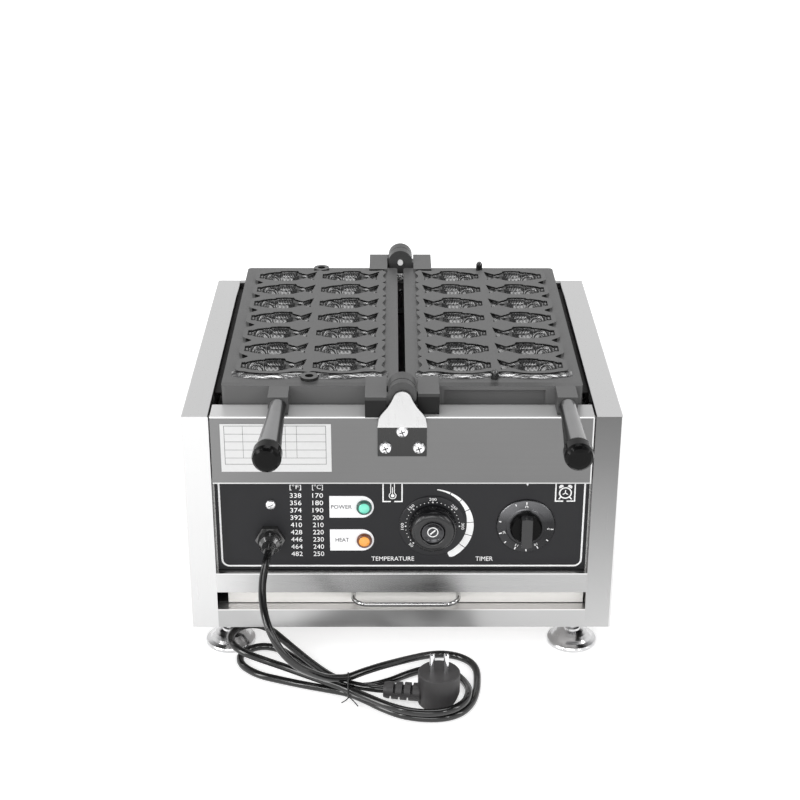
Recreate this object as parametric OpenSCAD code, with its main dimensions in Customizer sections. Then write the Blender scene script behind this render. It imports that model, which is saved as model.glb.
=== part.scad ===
// Countertop taiyaki maker: a stainless housing with controls and a drip
// tray, and two cast moulds that fold over each other on one hinge line.
// Lengths are in millimetres. The front faces -Y and the counter is z = 0.

/* [Housing] */
// Overall width over the side columns
housing_w = 400; // [330:1:500]
// Depth of the housing from front to back
housing_d = 360; // [300:1:450]
// Height of the housing's top edge above the counter
housing_top = 256.6; // [240:0.1:310]
// Height of the housing's lower edge above the counter
housing_bottom = 35; // [28:0.5:45]
// Width of each side column
column_w = 24.8; // [16:0.1:32]
// Thickness of the stainless sheet
sheet_t = 1.5; // [1:0.1:2.2]
// Chamfer along the edges of the side columns
column_edge = 0.8; // [0.4:0.1:2]

/* [Front] */
// Height of the plain apron over the control panel
apron_h = 67.6; // [58:0.1:80]
// Depth of the ledge on top of the apron
ledge_d = 27; // [22:0.5:32]
// Distance of the control panel behind the front plane
panel_set = 8; // [5:0.5:12]
// Thickness of the black control plate
plate_t = 1; // [0.6:0.1:2]
// Height of the strip under the control panel
lip_h = 20.5; // [14:0.5:26]
// Height of the slot for the drip tray
slot_h = 18.8; // [14:0.1:24]
// Height of the strip under the tray slot
base_h = 19.7; // [14:0.1:26]
// Depth of the box behind the controls
control_d = 62; // [54:1:80]

/* [Controls] */
// Height of the knobs above the counter
knob_z = 141; // [134:1:150]
// Radius of the temperature knob
knob_r = 22.2; // [16:0.1:25]
// How far the temperature knob stands out
knob_h = 15; // [10:0.5:20]
// Radius of the fixed temperature dial
dial_r = 31.3; // [27:0.1:34]
// Radius of the timer's skirt
skirt_r = 27.5; // [22:0.1:31]
// Radius of the timer's grip
timer_grip_r = 15; // [12:0.1:18]
// Shaft radius of both controls
shaft_r = 3; // [2.5:0.1:4]
// Radius of the signal lamps
lamp_r = 7.2; // [5:0.1:9]

/* [Moulds] */
// Gap between a mould and the side column
mould_gap_x = 9.7; // [6:0.1:14]
// Width of the slot between the two moulds
slot_w = 6.6; // [4:0.1:10]
// Gap between the ledge and the moulds
mould_front_gap = 2.7; // [1.5:0.1:6]
// Distance of the moulds from the back of the housing
mould_back_gap = 8.4; // [6:0.1:14]
// Thickness of a mould below the parting plane
mould_h = 25; // [22:0.1:30]
// Height of the raised land round the cavities
land_h = 3; // [2:0.1:5]
// Gap between the closed moulds
part_gap = 0.4; // [0.2:0.05:1]
// Height of the hinge axis above the housing's top edge
axis_up = 20.6; // [18:0.1:24]
// Length of a fish cavity
fish_len = 60.8; // [50:0.1:66]
// Depth of a fish cavity
fish_deep = 11; // [8:0.1:13]
// Spacing of the fish rows
row_pitch = 40.8; // [38:0.1:50]
// Gap between the two fish of a row
fish_gap = 6.2; // [4:0.1:12]
// Radius of the hole for a locating pin
pin_hole_r = 4; // [3.2:0.1:5]
// Side clearance of a locating pin
pin_play = 0.6; // [0.5:0.05:1]

/* [Hinge] */
// Radius of the hinge knuckles
knuckle_r = 12.9; // [10:0.1:13.5]
// Radius of the hinge pins
hinge_pin_r = 3; // [2.5:0.1:4]
// Radial play of a knuckle on its pin
hinge_play = 0.05; // [0.02:0.01:0.09]
// Distance from the hinge axis to the arms
arm_in = 14.2; // [14:0.1:18]
// Width of the hinge arms
arm_w = 19.4; // [14:0.1:24]
// Width of a hinge bracket
bracket_w = 44.6; // [40:0.2:56]
// Plate thickness of the hinge brackets
bracket_t = 2; // [1.5:0.1:3]

/* [Handles] */
// Length of a handle grip with its cap
grip_len = 102; // [80:1:120]
// Radius of a grip at the mould
grip_root_r = 7.75; // [6.5:0.05:8]
// Radius of a grip at its thick end
grip_end_r = 11.25; // [9:0.05:12.5]
// Radius of the end cap
cap_r = 12.8; // [10:0.1:14]
// Radius of the stud inside a grip
stud_r = 4; // [3:0.1:5]

/* [Tray] */
// Wall of the drip tray
tray_t = 1.2; // [0.8:0.1:2]
// Play between the tray and the slot's edges
tray_play = 0.7; // [0.4:0.1:1.5]
// Side gap left of the tray
tray_gap_left = 9.2; // [3:0.1:12]
// Side gap right of the tray
tray_gap_right = 1.2; // [0.8:0.1:6]
// Spacing of the tray handle's legs
pull_w = 100; // [80:1:140]
// Radius of the handle wire
wire_r = 2.1; // [1.5:0.1:3]

/* [Feet] */
// Rim radius of a foot
foot_r = 24.4; // [18:0.1:26]
// Distance of a foot's centre from the front or the back
foot_in = 31; // [28:0.5:50]
// Distance of a foot's centre from the side column
foot_side = 7.7; // [7:0.1:20]
// Radius of a foot's threaded stud
foot_stud_r = 5; // [4:0.1:6]

/* [Cord] */
// Diameter of the mains cord
cord_d = 7.2; // [6:0.1:7.4]

/* [Hidden] */
$fn = 48;

eps = 0.01;
half_w = housing_w / 2;
in_w = half_w - column_w;
apron_bottom = housing_top - apron_h;
slot_bottom = housing_bottom + base_h;
lip_bottom = slot_bottom + slot_h;
lip_top = lip_bottom + lip_h;
axis_z = housing_top + axis_up;
sheet_y = panel_set + plate_t;

// Hinge stations along Y, from the front plane or from the back.
k1_front = 1;
k1_back = 9.4;
k2_front = 10.6;
k2_back = 25.6;
washer_gap = 0.2;
rear_k2_front = housing_d + 1.4;
rear_k2_back = housing_d + 14;
rear_k1_front = housing_d + 15.2;
rear_k1_back = housing_d + 28;
ear_back = rear_k1_back + 1.4 + bracket_t;

// Moulds.
mould_out = in_w - mould_gap_x;
mould_in = slot_w / 2;
mould_w = mould_out - mould_in;
mould_y0 = ledge_d + mould_front_gap;
mould_y1 = housing_d - mould_back_gap;
mould_len = mould_y1 - mould_y0;
land_top = -part_gap / 2;
flange_top = land_top - land_h;
mould_bottom = land_top - mould_h;
land_side = 11;
land_front = 16.5;
land_back = 11;
col_pitch = fish_len + fish_gap;
cols = max(1, floor((mould_w - 2 * land_side) / col_pitch));
rows = max(1, floor((mould_len - land_front - land_back) / row_pitch));
col_shift = 2.1;
row_shift = 4.4;
col_x0 = (mould_in + mould_out) / 2 + col_shift - (cols - 1) * col_pitch / 2;
row_y0 = (mould_y0 + mould_y1) / 2 + row_shift - (rows - 1) * row_pitch / 2;
boss_r = 8.2;
boss_x = (mould_in + mould_out) / 2 + 1.1;
boss_y0 = row_y0 - 25.7;
boss_y1 = row_y0 + (rows - 1) * row_pitch + 27.6;

// Handles: height of the lug, its place and the lean of each grip.
lug_h = 17;
lug_w = 18.2;
lug_reach = ledge_d - 1.3;
left_lug_x = mould_out - 53.4;
right_lug_x = mould_out - 16.4;
grip_z = flange_top - lug_h / 2;
lug_y = mould_y0 - lug_reach;
grip_gap = 0.8;
left_droop = 3;
left_splay = -2.2;
right_droop = 2;
right_splay = 0.3;
cap_len = 20;

// The part's own Y origin: half way between the grips' ends and the back.
front_reach = -(lug_y - (grip_gap + grip_len) * cos(left_droop)
    * cos(left_splay) - cap_r * sin(left_droop));
front_y = -(ear_back - front_reach) / 2;

// Controls.
temp_x = 28.7;
timer_x = 116;
lamp_x = -35.2;
power_z = knob_z + 20.1;
heat_z = knob_z - 15;
gland_x = -123.3;
gland_z = 128.5;
screw_z = 163.8;

// Tray.
tray_x0 = -in_w + tray_gap_left;
tray_x1 = in_w - tray_gap_right;
tray_y0 = 12;
tray_y1 = housing_d - 15;
tray_z0 = slot_bottom + tray_play;
tray_top = lip_bottom - 0.5;
tray_wall_top = tray_top - 3.5;
pull_x = 4;
pull_z = tray_z0 + 10.6;
seam_z = tray_z0 + 7;
pull_reach = 22;
pull_bend = 14;
rail_top = tray_z0 - 0.3;

module placed() translate([0, front_y, 0]) children();

// A profile in the YZ plane, run along X from x0 to x1.
module run_x(x0, x1)
    translate([x0, 0, 0])
        rotate([90, 0, 90])
            linear_extrude(x1 - x0) children();

// A profile in the XZ plane, run along Y from y0 to y1.
module run_y(y0, y1)
    translate([0, y1, 0])
        rotate([90, 0, 0])
            linear_extrude(y1 - y0) children();

// A revolved piece that stands on the plane y = y0 and points to the front.
module turn_front(x, y0, z)
    translate([x, y0, z])
        rotate([90, 0, 0])
            rotate_extrude() children();

module round_rect(w, h, r) {
    translate([r, 0]) square([w - 2 * r, h]);
    translate([0, r]) square([w, h - 2 * r]);
    for (x = [r, w - r], y = [r, h - r])
        translate([x, y]) circle(r, $fn = 32);
}

// Housing.

// A folded box of sheet that is open at the bottom.
module column(x0, x1) {
    e = column_edge;
    t = sheet_t;
    difference() {
        run_y(0, housing_d)
            polygon([[x0, housing_bottom], [x1, housing_bottom],
                [x1, housing_top - e], [x1 - e, housing_top],
                [x0 + e, housing_top], [x0, housing_top - e]]);
        run_y(t, housing_d - t)
            translate([x0 + t, housing_bottom - 1])
                square([x1 - x0 - 2 * t, housing_top - housing_bottom - t + 1]);
    }
}

module side_panel_left()
    color("lightgray") placed() column(-half_w, -in_w);

module side_panel_right()
    color("lightgray") placed() column(in_w, half_w);

module base_pan() {
    nose = 12;
    color("silver") placed() difference() {
        run_x(-in_w, in_w)
            polygon([[0, housing_bottom], [housing_d, housing_bottom],
                [housing_d, housing_bottom + sheet_t],
                [nose, housing_bottom + sheet_t], [nose, slot_bottom],
                [0, slot_bottom]]);
        for (x = [-1, 1], y = [foot_in, housing_d - foot_in])
            translate([x * (in_w - foot_side), y, housing_bottom - 1])
                cylinder(h = sheet_t + 2, r = foot_stud_r + 0.4);
    }
}

module fascia() {
    t = sheet_t;
    color("silver") placed() difference() {
        run_x(-in_w, in_w)
            polygon([[0, lip_bottom], [0, lip_top], [sheet_y, lip_top],
                [sheet_y, housing_top - 2 * t], [sheet_y + t, housing_top - 2 * t],
                [sheet_y + t, lip_top - t], [t, lip_top - t],
                [t, lip_bottom + t], [control_d, lip_bottom + t],
                [control_d, lip_bottom]]);
        panel_holes(sheet_y - 1, sheet_y + t + 1);
    }
}

module panel_holes(y0, y1) {
    run_y(y0, y1) {
        translate([temp_x, knob_z]) circle(shaft_r + 0.6);
        translate([timer_x, knob_z]) circle(shaft_r + 0.6);
        translate([lamp_x, power_z]) circle(lamp_r - 1.4);
        translate([lamp_x, heat_z]) circle(lamp_r - 1.4);
        translate([gland_x, gland_z]) circle(7.4);
        translate([gland_x + 1.3, screw_z]) circle(2.1);
    }
}

module control_plate() {
    edge = 1.6;
    color([0.05, 0.05, 0.06]) placed() difference() {
        run_y(panel_set, sheet_y)
            translate([-in_w + edge, lip_top + 0.4])
                square([2 * (in_w - edge), apron_bottom - lip_top - 0.8]);
        panel_holes(panel_set - 1, sheet_y + 1);
    }
}

module front_apron() {
    t = sheet_t;
    gap = 1.4;
    color("silver") placed() difference() {
        run_x(-in_w + gap, in_w - gap)
            polygon([[0, apron_bottom], [0, housing_top],
                [ledge_d, housing_top], [ledge_d, housing_top - 8],
                [ledge_d - t, housing_top - 8], [ledge_d - t, housing_top - t],
                [t, housing_top - t], [t, apron_bottom + t],
                [sheet_y, apron_bottom + t], [sheet_y, apron_bottom]]);
        bracket_holes(-1, t + 1);
    }
}

module rear_panel() {
    t = sheet_t;
    vents = 14;
    color("silver") placed() difference() {
        run_x(-in_w, in_w)
            polygon([[housing_d - t, housing_bottom + t],
                [housing_d - t, housing_top - t],
                [housing_d - mould_back_gap + 1, housing_top - t],
                [housing_d - mould_back_gap + 1, housing_top],
                [housing_d, housing_top],
                [housing_d, housing_bottom + t]]);
        run_y(housing_d - t - 1, housing_d + 1)
            for (i = [0 : vents - 1])
                translate([(i - (vents - 1) / 2) * 16 - 1.5, 112])
                    round_rect(3, 34, 1.49);
        rear_bracket_holes(housing_d - t - 1, housing_d + 1);
    }
}

// The wall and roof that keep the controls away from the heaters.
module heat_shield() {
    t = sheet_t;
    roof = housing_top - 30;
    color("silver") placed()
        run_x(-in_w, in_w)
            polygon([[control_d, lip_bottom], [control_d, roof],
                [sheet_y + t, roof], [sheet_y + t, roof + t],
                [control_d + t, roof + t], [control_d + t, lip_bottom]]);
}

// Angles along the columns that carry the outer edges of the moulds.
module mould_rests() {
    t = sheet_t;
    top = axis_z + mould_bottom - 0.4;
    color("silver") placed()
        for (s = [0, 1]) mirror([s, 0, 0])
            run_y(control_d + 4, housing_d - 14)
                polygon([[in_w, top], [in_w - 22, top], [in_w - 22, top - t],
                    [in_w - t, top - t], [in_w - t, top - 16],
                    [in_w, top - 16]]);
}

module tray_rails() {
    t = sheet_t;
    color("silver") placed()
        for (s = [0, 1]) mirror([s, 0, 0])
            run_y(14, housing_d - 12)
                polygon([[in_w, rail_top], [in_w - 16, rail_top],
                    [in_w - 16, rail_top - t], [in_w - t, rail_top - t],
                    [in_w - t, housing_bottom + t], [in_w, housing_bottom + t]]);
}

// Heating elements.

heater_r = 4;
heater_z = axis_z + mould_bottom - heater_r - 1;
heater_runs = 4;
heater_bend = 15;
heater_y0 = control_d + heater_bend + 8;
heater_y1 = housing_d - 40;

module heater(side) {
    first = mould_in + 28;
    pitch = 2 * heater_bend;
    color([0.35, 0.35, 0.37]) placed() mirror([side, 0, 0])
        translate([0, 0, heater_z]) {
            for (i = [0 : heater_runs - 1]) {
                out = i == 0 || i == heater_runs - 1;
                y0 = out ? 50 : heater_y0;
                translate([first + i * pitch, heater_y1, 0])
                    rotate([90, 0, 0])
                        cylinder(h = heater_y1 - y0, r = heater_r);
            }
            for (i = [0 : 2 : heater_runs - 2])
                translate([first + (i + 0.5) * pitch, heater_y1, 0])
                    rotate_extrude(angle = 180)
                        translate([heater_bend, 0]) circle(heater_r);
            for (i = [1 : 2 : heater_runs - 2])
                translate([first + (i + 0.5) * pitch, heater_y0, 0])
                    rotate([0, 0, 180])
                        rotate_extrude(angle = 180)
                            translate([heater_bend, 0]) circle(heater_r);
            for (i = [0, heater_runs - 1])
                translate([first + i * pitch, 50, -12]) {
                    rotate([0, 0, -90]) rotate([90, 0, 0])
                        rotate_extrude(angle = 90)
                            translate([12, 0]) circle(heater_r);
                    translate([0, -12, 12 + housing_top - 30 + sheet_t - heater_z])
                        cylinder(h = heater_z - 12 - housing_top + 30 - sheet_t,
                            r = heater_r);
                }
        }
}

module heater_left() heater(1);

module heater_right() heater(0);

// Two bent bars that carry the heaters between the mould rests.
module heater_supports() {
    t = sheet_t;
    x = in_w - t;
    top = heater_z - heater_r;
    color("silver") placed()
        for (y = [heater_y0 + 14, heater_y1 - 24])
            run_y(y, y + 14)
                polygon([[-x, top - 10], [-x, top], [x, top], [x, top - 10],
                    [x - t, top - 10], [x - t, top - t], [-x + t, top - t],
                    [-x + t, top - 10]]);
}

// Controls.

module control_body(x, w, d) {
    y0 = sheet_y + sheet_t;
    color([0.85, 0.83, 0.78]) placed() difference() {
        translate([x - w / 2, y0, knob_z - w / 2]) cube([w, d, w]);
        translate([x, y0 + 14, knob_z])
            rotate([90, 0, 0]) cylinder(h = 20, r = shaft_r + 0.05);
    }
}

module thermostat_body() control_body(temp_x, 34, 30);

module timer_body() control_body(timer_x, 44, 36);

module temperature_dial()
    color([0.06, 0.06, 0.07]) placed() difference() {
        turn_front(temp_x, panel_set, knob_z)
            polygon([[0, 0], [dial_r, 0], [dial_r, 0.8], [dial_r - 0.5, 1.2],
                [0, 1.2]]);
        run_y(panel_set - 3, panel_set + 1)
            translate([temp_x, knob_z]) circle(shaft_r + 0.6);
    }

module lamp(z) {
    r = lamp_r;
    placed() turn_front(lamp_x, panel_set - 0.7, z)
        polygon([[0, -22], [r - 1.7, -22], [r - 1.7, 0], [r, 0], [r, 1.6],
            [r - 1.2, 2.2], [r - 1.4, 2.8], [r - 2.6, 3.9], [r - 4.4, 4.6],
            [0, 4.9]]);
}

module power_lamp() color("green") lamp(power_z);

module heat_lamp() color("orange") lamp(heat_z);

// The two white plates round the lamps, half round at the right end.
module lamp_plates() {
    r = 11.2;
    len = 30;
    color("white") placed() difference() {
        run_y(panel_set - 0.7, panel_set)
            for (z = [power_z, heat_z])
                translate([lamp_x - 2.2, z]) {
                    circle(r);
                    translate([-len, -r]) square([len, 2 * r]);
                }
        run_y(panel_set - 2, panel_set + 1)
            for (z = [power_z, heat_z])
                translate([lamp_x, z]) circle(lamp_r - 1.4);
    }
}

module rating_plate()
    color([0.78, 0.78, 0.79]) placed()
        run_y(-0.5, 0)
            translate([-165, housing_top - 55]) square([100.6, 48]);

module terminal_screw()
    color("silver") placed()
        turn_front(gland_x + 1.3, panel_set, screw_z)
            polygon([[0, -6], [1.9, -6], [1.9, 0], [3.75, 0], [3.75, 1.2],
                [2.9, 2.6], [1.4, 3.2], [0, 3.3]]);

// Hinge.

module bracket_holes(y0, y1)
    run_y(y0, y1)
        for (p = bolt_points) translate(p) circle(2.7);

module rear_bracket_holes(y0, y1)
    run_y(y0, y1)
        for (p = bolt_points) translate(p) circle(2.7);

flange_bottom = housing_top - 38.6;
shelf_z = housing_top - 7;
bolt_points = [[0, housing_top - 13.2], [-15.2, housing_top - 29.6],
    [15.2, housing_top - 29.6]];
ear_top = axis_z + 5;

module ear_outline() {
    w = bracket_w / 2;
    translate([0, ear_top - 8.6]) circle(8.6);
    intersection() {
        translate([-w, flange_bottom - 1])
            square([2 * w, ear_top - flange_bottom]);
        polygon([[-w, flange_bottom - 1], [-w, shelf_z],
            [-w + 1.2, shelf_z + 8.2], [-w + 3.6, shelf_z + 12],
            [-w + 9, shelf_z + 18], [-w + 12.2, shelf_z + 22.8],
            [-8.2, ear_top - 6], [8.2, ear_top - 6],
            [w - 12.2, shelf_z + 22.8], [w - 9, shelf_z + 18],
            [w - 3.6, shelf_z + 12], [w - 1.2, shelf_z + 8.2],
            [w, shelf_z], [w, flange_bottom - 1]]);
    }
}

// One bent plate: a bolted flange, a short shelf and an ear that leans back.
module front_hinge_bracket() {
    t = bracket_t;
    w = bracket_w / 2;
    reach = 8;
    color([0.8, 0.8, 0.82]) placed() difference() {
        intersection() {
            run_x(-w, w)
                polygon([[-t, flange_bottom], [0, flange_bottom],
                    [0, shelf_z + t], [-reach + t, shelf_z + t],
                    [0, ear_top], [0, ear_top + 1], [-t, ear_top + 1],
                    [-reach, shelf_z + t], [-reach, shelf_z],
                    [-t, shelf_z]]);
            run_y(-reach - 1, 1) union() {
                ear_outline();
                translate([-w, flange_bottom])
                    round_rect(2 * w, shelf_z - flange_bottom, 4);
            }
        }
        bracket_holes(-t - 1, 1);
    }
}

module rear_hinge_bracket() {
    t = bracket_t;
    w = bracket_w / 2;
    y0 = housing_d;
    color([0.8, 0.8, 0.82]) placed() difference() {
        intersection() {
            run_x(-w, w)
                polygon([[y0, flange_bottom], [y0 + t, flange_bottom],
                    [y0 + t, shelf_z], [ear_back, shelf_z],
                    [ear_back, ear_top], [ear_back - t, ear_top],
                    [ear_back - t, shelf_z + t], [y0, shelf_z + t]]);
            run_y(y0 - 1, ear_back + 1) ear_outline();
        }
        rear_bracket_holes(y0 - 1, y0 + t + 1);
    }
}

module bracket_screws()
    color("silver") placed() {
        for (p = bolt_points) {
            turn_front(p[0], -bracket_t, p[1]) screw_profile();
            translate([p[0], housing_d + bracket_t, p[1]])
                rotate([-90, 0, 0]) rotate_extrude() screw_profile();
        }
    }

module screw_profile()
    polygon([[0, -6], [2.5, -6], [2.5, 0], [5.8, 0], [5.8, 1.4], [4.9, 2.8],
        [3, 3.7], [0, 4]]);

module front_hinge_pin()
    color("silver") placed()
        translate([0, k2_back + 1.4, axis_z]) rotate([90, 0, 0])
            cylinder(h = k2_back + 1.4 + 1.6, r = hinge_pin_r);

module rear_hinge_pin()
    color("silver") placed()
        translate([0, ear_back - 0.5, axis_z]) rotate([90, 0, 0])
            cylinder(h = ear_back - 0.5 - (rear_k2_front - 2.4),
                r = hinge_pin_r);

module hinge_washers()
    color("dimgray") placed() {
        washer(k1_back + washer_gap, k2_front - washer_gap);
        washer(rear_k2_back + washer_gap, rear_k1_front - washer_gap);
    }

module washer(y0, y1)
    translate([0, y1, axis_z]) rotate([90, 0, 0]) difference() {
        cylinder(h = y1 - y0, r = knuckle_r - 1.4);
        translate([0, 0, -1]) cylinder(h = y1 - y0 + 2, r = hinge_pin_r);
    }

// Moulds.

// A fish cavity: head at u = 0, tail at u = fish_len, back towards +v.
uk = fish_len / 60.8;

module fish_tail()
    polygon([[40 * uk, -7], [44 * uk, -6], [49 * uk, -4.6], [54 * uk, -9],
        [58.6 * uk, -12], [58 * uk, -4], [59.4 * uk, 4], [60.8 * uk, 14],
        [56 * uk, 10], [50 * uk, 4.8], [44 * uk, 7], [40 * uk, 8]]);

module fish_fin()
    polygon([[20 * uk, 8], [21.5 * uk, 15], [30 * uk, 16.4], [40 * uk, 15.6],
        [42 * uk, 10], [44 * uk, 4], [20 * uk, 4]]);

// Rays of the tail, sunk below its floor.
module tail_rays()
    for (a = [-52, -16, 22, 44])
        translate([47 * uk, 0.6, 0]) rotate([0, 0, a])
            translate([3, -0.6]) square([abs(a) > 40 ? 8.5 : 7, 1.2]);

// Half width of the spindle at u, as a share of its greatest radius.
function girth(u) = lookup(u, [[0, 0.52], [3.4, 0.58], [8, 0.72], [15, 0.87],
    [23, 0.97], [29, 1], [35, 0.97], [41, 0.84], [47, 0.58], [50, 0.44]]);

// The cavity's body: a spindle whose axis lies above the land. Its rings
// of scales overlap from the gill backwards.
spindle_up = 5;
gill_u = 18;
scale_step = 4.4;
scale_rows = 6;
module fish_body() {
    r = fish_deep + spindle_up;
    d = 0.55;
    rings = [for (i = [0 : scale_rows - 1])
        each let(u0 = gill_u + i * scale_step, u1 = u0 + scale_step)
            [[r * girth(u0) - d, u0 * uk], [r * girth(u1), u1 * uk - 0.01]]];
    end_u = gill_u + scale_rows * scale_step;
    translate([0, -0.5, spindle_up]) rotate([0, 90, 0]) rotate_extrude()
        polygon(concat([[0, 0], [r * girth(0), 0],
            [r * girth(3.4), 3.4 * uk], [r * girth(3.4) - 1, 3.41 * uk],
            [r * girth(8), 8 * uk], [r * girth(13), 13 * uk],
            [r * girth(gill_u), gill_u * uk - 0.01]], rings,
            [[r * girth(end_u) - d, end_u * uk],
            [r * girth(47), 47 * uk], [r * 0.44, 50 * uk], [0, 50 * uk]]));
}

module fish_cavity() {
    r = fish_deep + spindle_up;
    translate([0, 0, land_top]) {
        fish_body();
        translate([0, 0, -4.2]) linear_extrude(10) fish_tail();
        translate([0, 0, -5]) linear_extrude(10) tail_rays();
        translate([0, 0, -5]) linear_extrude(10) fish_fin();
        translate([10.5 * uk, 2.4, spindle_up - r * girth(10.5) + 1.9])
            sphere(2.6);
    }
}

// The land's edge at one row, as points of distance along the row's width
// and depth behind the outermost line.
head_edge = [[-20.4, 9.6], [-18.6, 8.6], [-16, 5.6], [-13, 1.8],
    [-10.4, 0.4], [-7, 0], [7, 0], [10.4, 0.4], [13, 1.8], [16, 5.6],
    [18.6, 8.6]];
tail_edge = [[-20.4, 3.8], [-18.6, 2], [-16, 0.3], [-13, 0], [-8.6, 0.5],
    [-4.6, 2.2], [-0.6, 3.4], [4, 2.4], [8.6, 0.7], [13, 0], [16.6, 0.2],
    [18.8, 1.8]];
// Points under a fish, as distance from its head and from its middle line.
belly_edge = [[63.6, -17.6], [59, -15.6], [54, -15.4], [48, -15.8],
    [43, -17.6], [36, -19.2], [28, -19.8], [18, -19.4], [10, -17.8],
    [4, -15.6], [0, -14.8]];

module land_outline() {
    k = row_pitch / 40.8;
    x0 = col_x0 - fish_len / 2 - 7;
    x1 = col_x0 + (cols - 1) * col_pitch + fish_len / 2 + 4.6;
    y0 = row_y0;
    y1 = row_y0 + (rows - 1) * row_pitch;
    function kept(j, v) = (j > 0 || v > -13.5) && (j < rows - 1 || v < 13.5);
    belly = [for (i = [0 : cols - 1], p = belly_edge)
        [col_x0 + i * col_pitch + fish_len / 2 - p[0] * uk, p[1]]];
    head = [for (j = [0 : rows - 1], p = head_edge)
        if (kept(j, p[0])) [x1 - p[1], y0 + j * row_pitch + p[0] * k]];
    tail = [for (j = [0 : rows - 1], p = tail_edge)
        if (kept(j, p[0])) [x0 + p[1], y0 + j * row_pitch + p[0] * k]];
    n = len(belly);
    m = len(tail);
    polygon(concat([for (p = belly) if (p[0] > x0 + 1) [p[0], y0 + p[1]]],
        head, [for (i = [n - 1 : -1 : 0])
            if (belly[i][0] > x0 + 1) [belly[i][0], y1 + 1 - belly[i][1]]],
        [for (i = [m - 1 : -1 : 0]) tail[i]]));
}

// One mould on the right of the hinge; the left one is its mirror image
// but for the knuckles, the lug, the front edge and the locating features.
module mould(side) {
    arm_bottom = housing_top + 0.3 - axis_z;
    arm_out = arm_in + arm_w;
    front_arm = side == 0 ? 5.5 : -2.6;
    rear_arm = rear_k1_back;
    lug_x = side == 0 ? right_lug_x : left_lug_x;
    difference() {
        union() {
            translate([mould_in, mould_y0, mould_bottom])
                linear_extrude(flange_top - mould_bottom)
                    round_rect(mould_w, mould_len, 4);
            translate([0, 0, flange_top - 1])
                linear_extrude(land_h + 1) land_outline();
            if (side == 1)
                for (y = [boss_y0, boss_y1])
                    translate([boss_x, y, flange_top - 9])
                        cylinder(h = land_h + 9, r = boss_r);
            for (y = [[front_arm, mould_y0 + 16], [mould_y1 - 12, rear_arm]])
                translate([arm_in, y[0], arm_bottom])
                    cube([arm_w, y[1] - y[0], land_top - arm_bottom]);
            translate([lug_x - lug_w / 2, lug_y, flange_top - lug_h])
                cube([lug_w, mould_y0 + 4 - lug_y, lug_h]);
        }
        for (i = [0 : cols - 1], j = [0 : rows - 1])
            translate([col_x0 + i * col_pitch + fish_len / 2,
                row_y0 + j * row_pitch, 0])
                mirror([1, 0, 0]) fish_cavity();
        if (side == 1)
            for (y = [boss_y0, boss_y1])
                translate([boss_x, y, land_top - 10])
                    cylinder(h = 11, r = pin_hole_r);
        if (side == 0)
            for (y = [boss_y0, boss_y1])
                translate([boss_x, y, flange_top - 6])
                    cylinder(h = 12, r = pin_hole_r - pin_play);
        if (side == 0)
            translate([arm_out + 5, mould_y0 - 1, mould_bottom - 1])
                cube([mould_out - 12 - lug_w - arm_out - 9, 7,
                    flange_top - 4 - mould_bottom + 1]);
        handle_frame(side) translate([0, 0, -16])
            cylinder(h = 17, r = stud_r);
    }
}

// The two knuckles of a mould, each an eye and the web to its arm.
module knuckles(side) {
    front = side == 0 ? [k2_front, k2_back] : [k1_front, k1_back];
    rear = side == 0 ? [rear_k2_front, rear_k2_back]
        : [rear_k1_front, rear_k1_back];
    color([0.27, 0.27, 0.29]) at_axis(side)
        for (y = [front, rear])
            difference() {
                run_y(y[0], y[1]) {
                    circle(knuckle_r);
                    translate([0, -knuckle_r])
                        square([arm_in, knuckle_r + land_top]);
                }
                translate([0, y[1] + 1, 0]) rotate([90, 0, 0])
                    cylinder(h = y[1] - y[0] + 2, r = hinge_pin_r + hinge_play);
            }
}

module left_knuckles() knuckles(1);

module right_knuckles() knuckles(0);

module at_axis(side)
    placed() translate([0, 0, axis_z]) mirror([side, 0, 0]) children();

module handle_frame(side) {
    droop = side == 0 ? right_droop : left_droop;
    splay = side == 0 ? right_splay : -left_splay;
    translate([side == 0 ? right_lug_x : left_lug_x, lug_y, grip_z])
        rotate([90 + droop, 0, splay]) children();
}

module left_mould() color([0.27, 0.27, 0.29]) at_axis(1) mould(1);

module right_mould() color([0.27, 0.27, 0.29]) at_axis(0) mould(0);

module locating_pins()
    color("silver") at_axis(0)
        for (y = [boss_y0, boss_y1])
            translate([boss_x, y, 0]) rotate_extrude()
                polygon([[0, flange_top - 6],
                    [pin_hole_r - pin_play, flange_top - 6],
                    [pin_hole_r - pin_play, 3.5],
                    [pin_hole_r - pin_play - 1.6, 6], [0, 6]]);

module handle_stud(side)
    color("silver") at_axis(side) handle_frame(side)
        translate([0, 0, -16]) cylinder(h = grip_len + 2, r = stud_r);

module handle_grip(side)
    color([0.16, 0.16, 0.17]) at_axis(side) handle_frame(side) difference() {
        l = grip_len - cap_len;
        rotate_extrude()
            polygon([[0, grip_gap], [grip_root_r - 0.8, grip_gap],
                [grip_root_r, grip_gap + 0.8], [grip_root_r, 6],
                [grip_root_r + 0.3, l * 0.3],
                [grip_root_r + (grip_end_r - grip_root_r) * 0.55, l * 0.7],
                [grip_end_r, grip_gap + l], [0, grip_gap + l]]);
        translate([0, 0, -1]) cylinder(h = grip_len, r = stud_r);
    }

module handle_cap(side)
    color([0.05, 0.05, 0.05]) at_axis(side) handle_frame(side) difference() {
        z0 = grip_gap + grip_len - cap_len;
        z1 = grip_gap + grip_len;
        rotate_extrude()
            polygon([[0, z0], [grip_end_r + 0.2, z0], [cap_r, z0 + 4],
                [cap_r, z1 - 6], [cap_r - 0.9, z1 - 2.6],
                [cap_r - 3, z1 - 0.7], [cap_r - 6, z1], [0, z1]]);
        translate([0, 0, -1]) cylinder(h = grip_len - 13, r = stud_r);
    }

module left_handle_stud() handle_stud(1);

module right_handle_stud() handle_stud(0);

module left_handle_grip() handle_grip(1);

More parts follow.
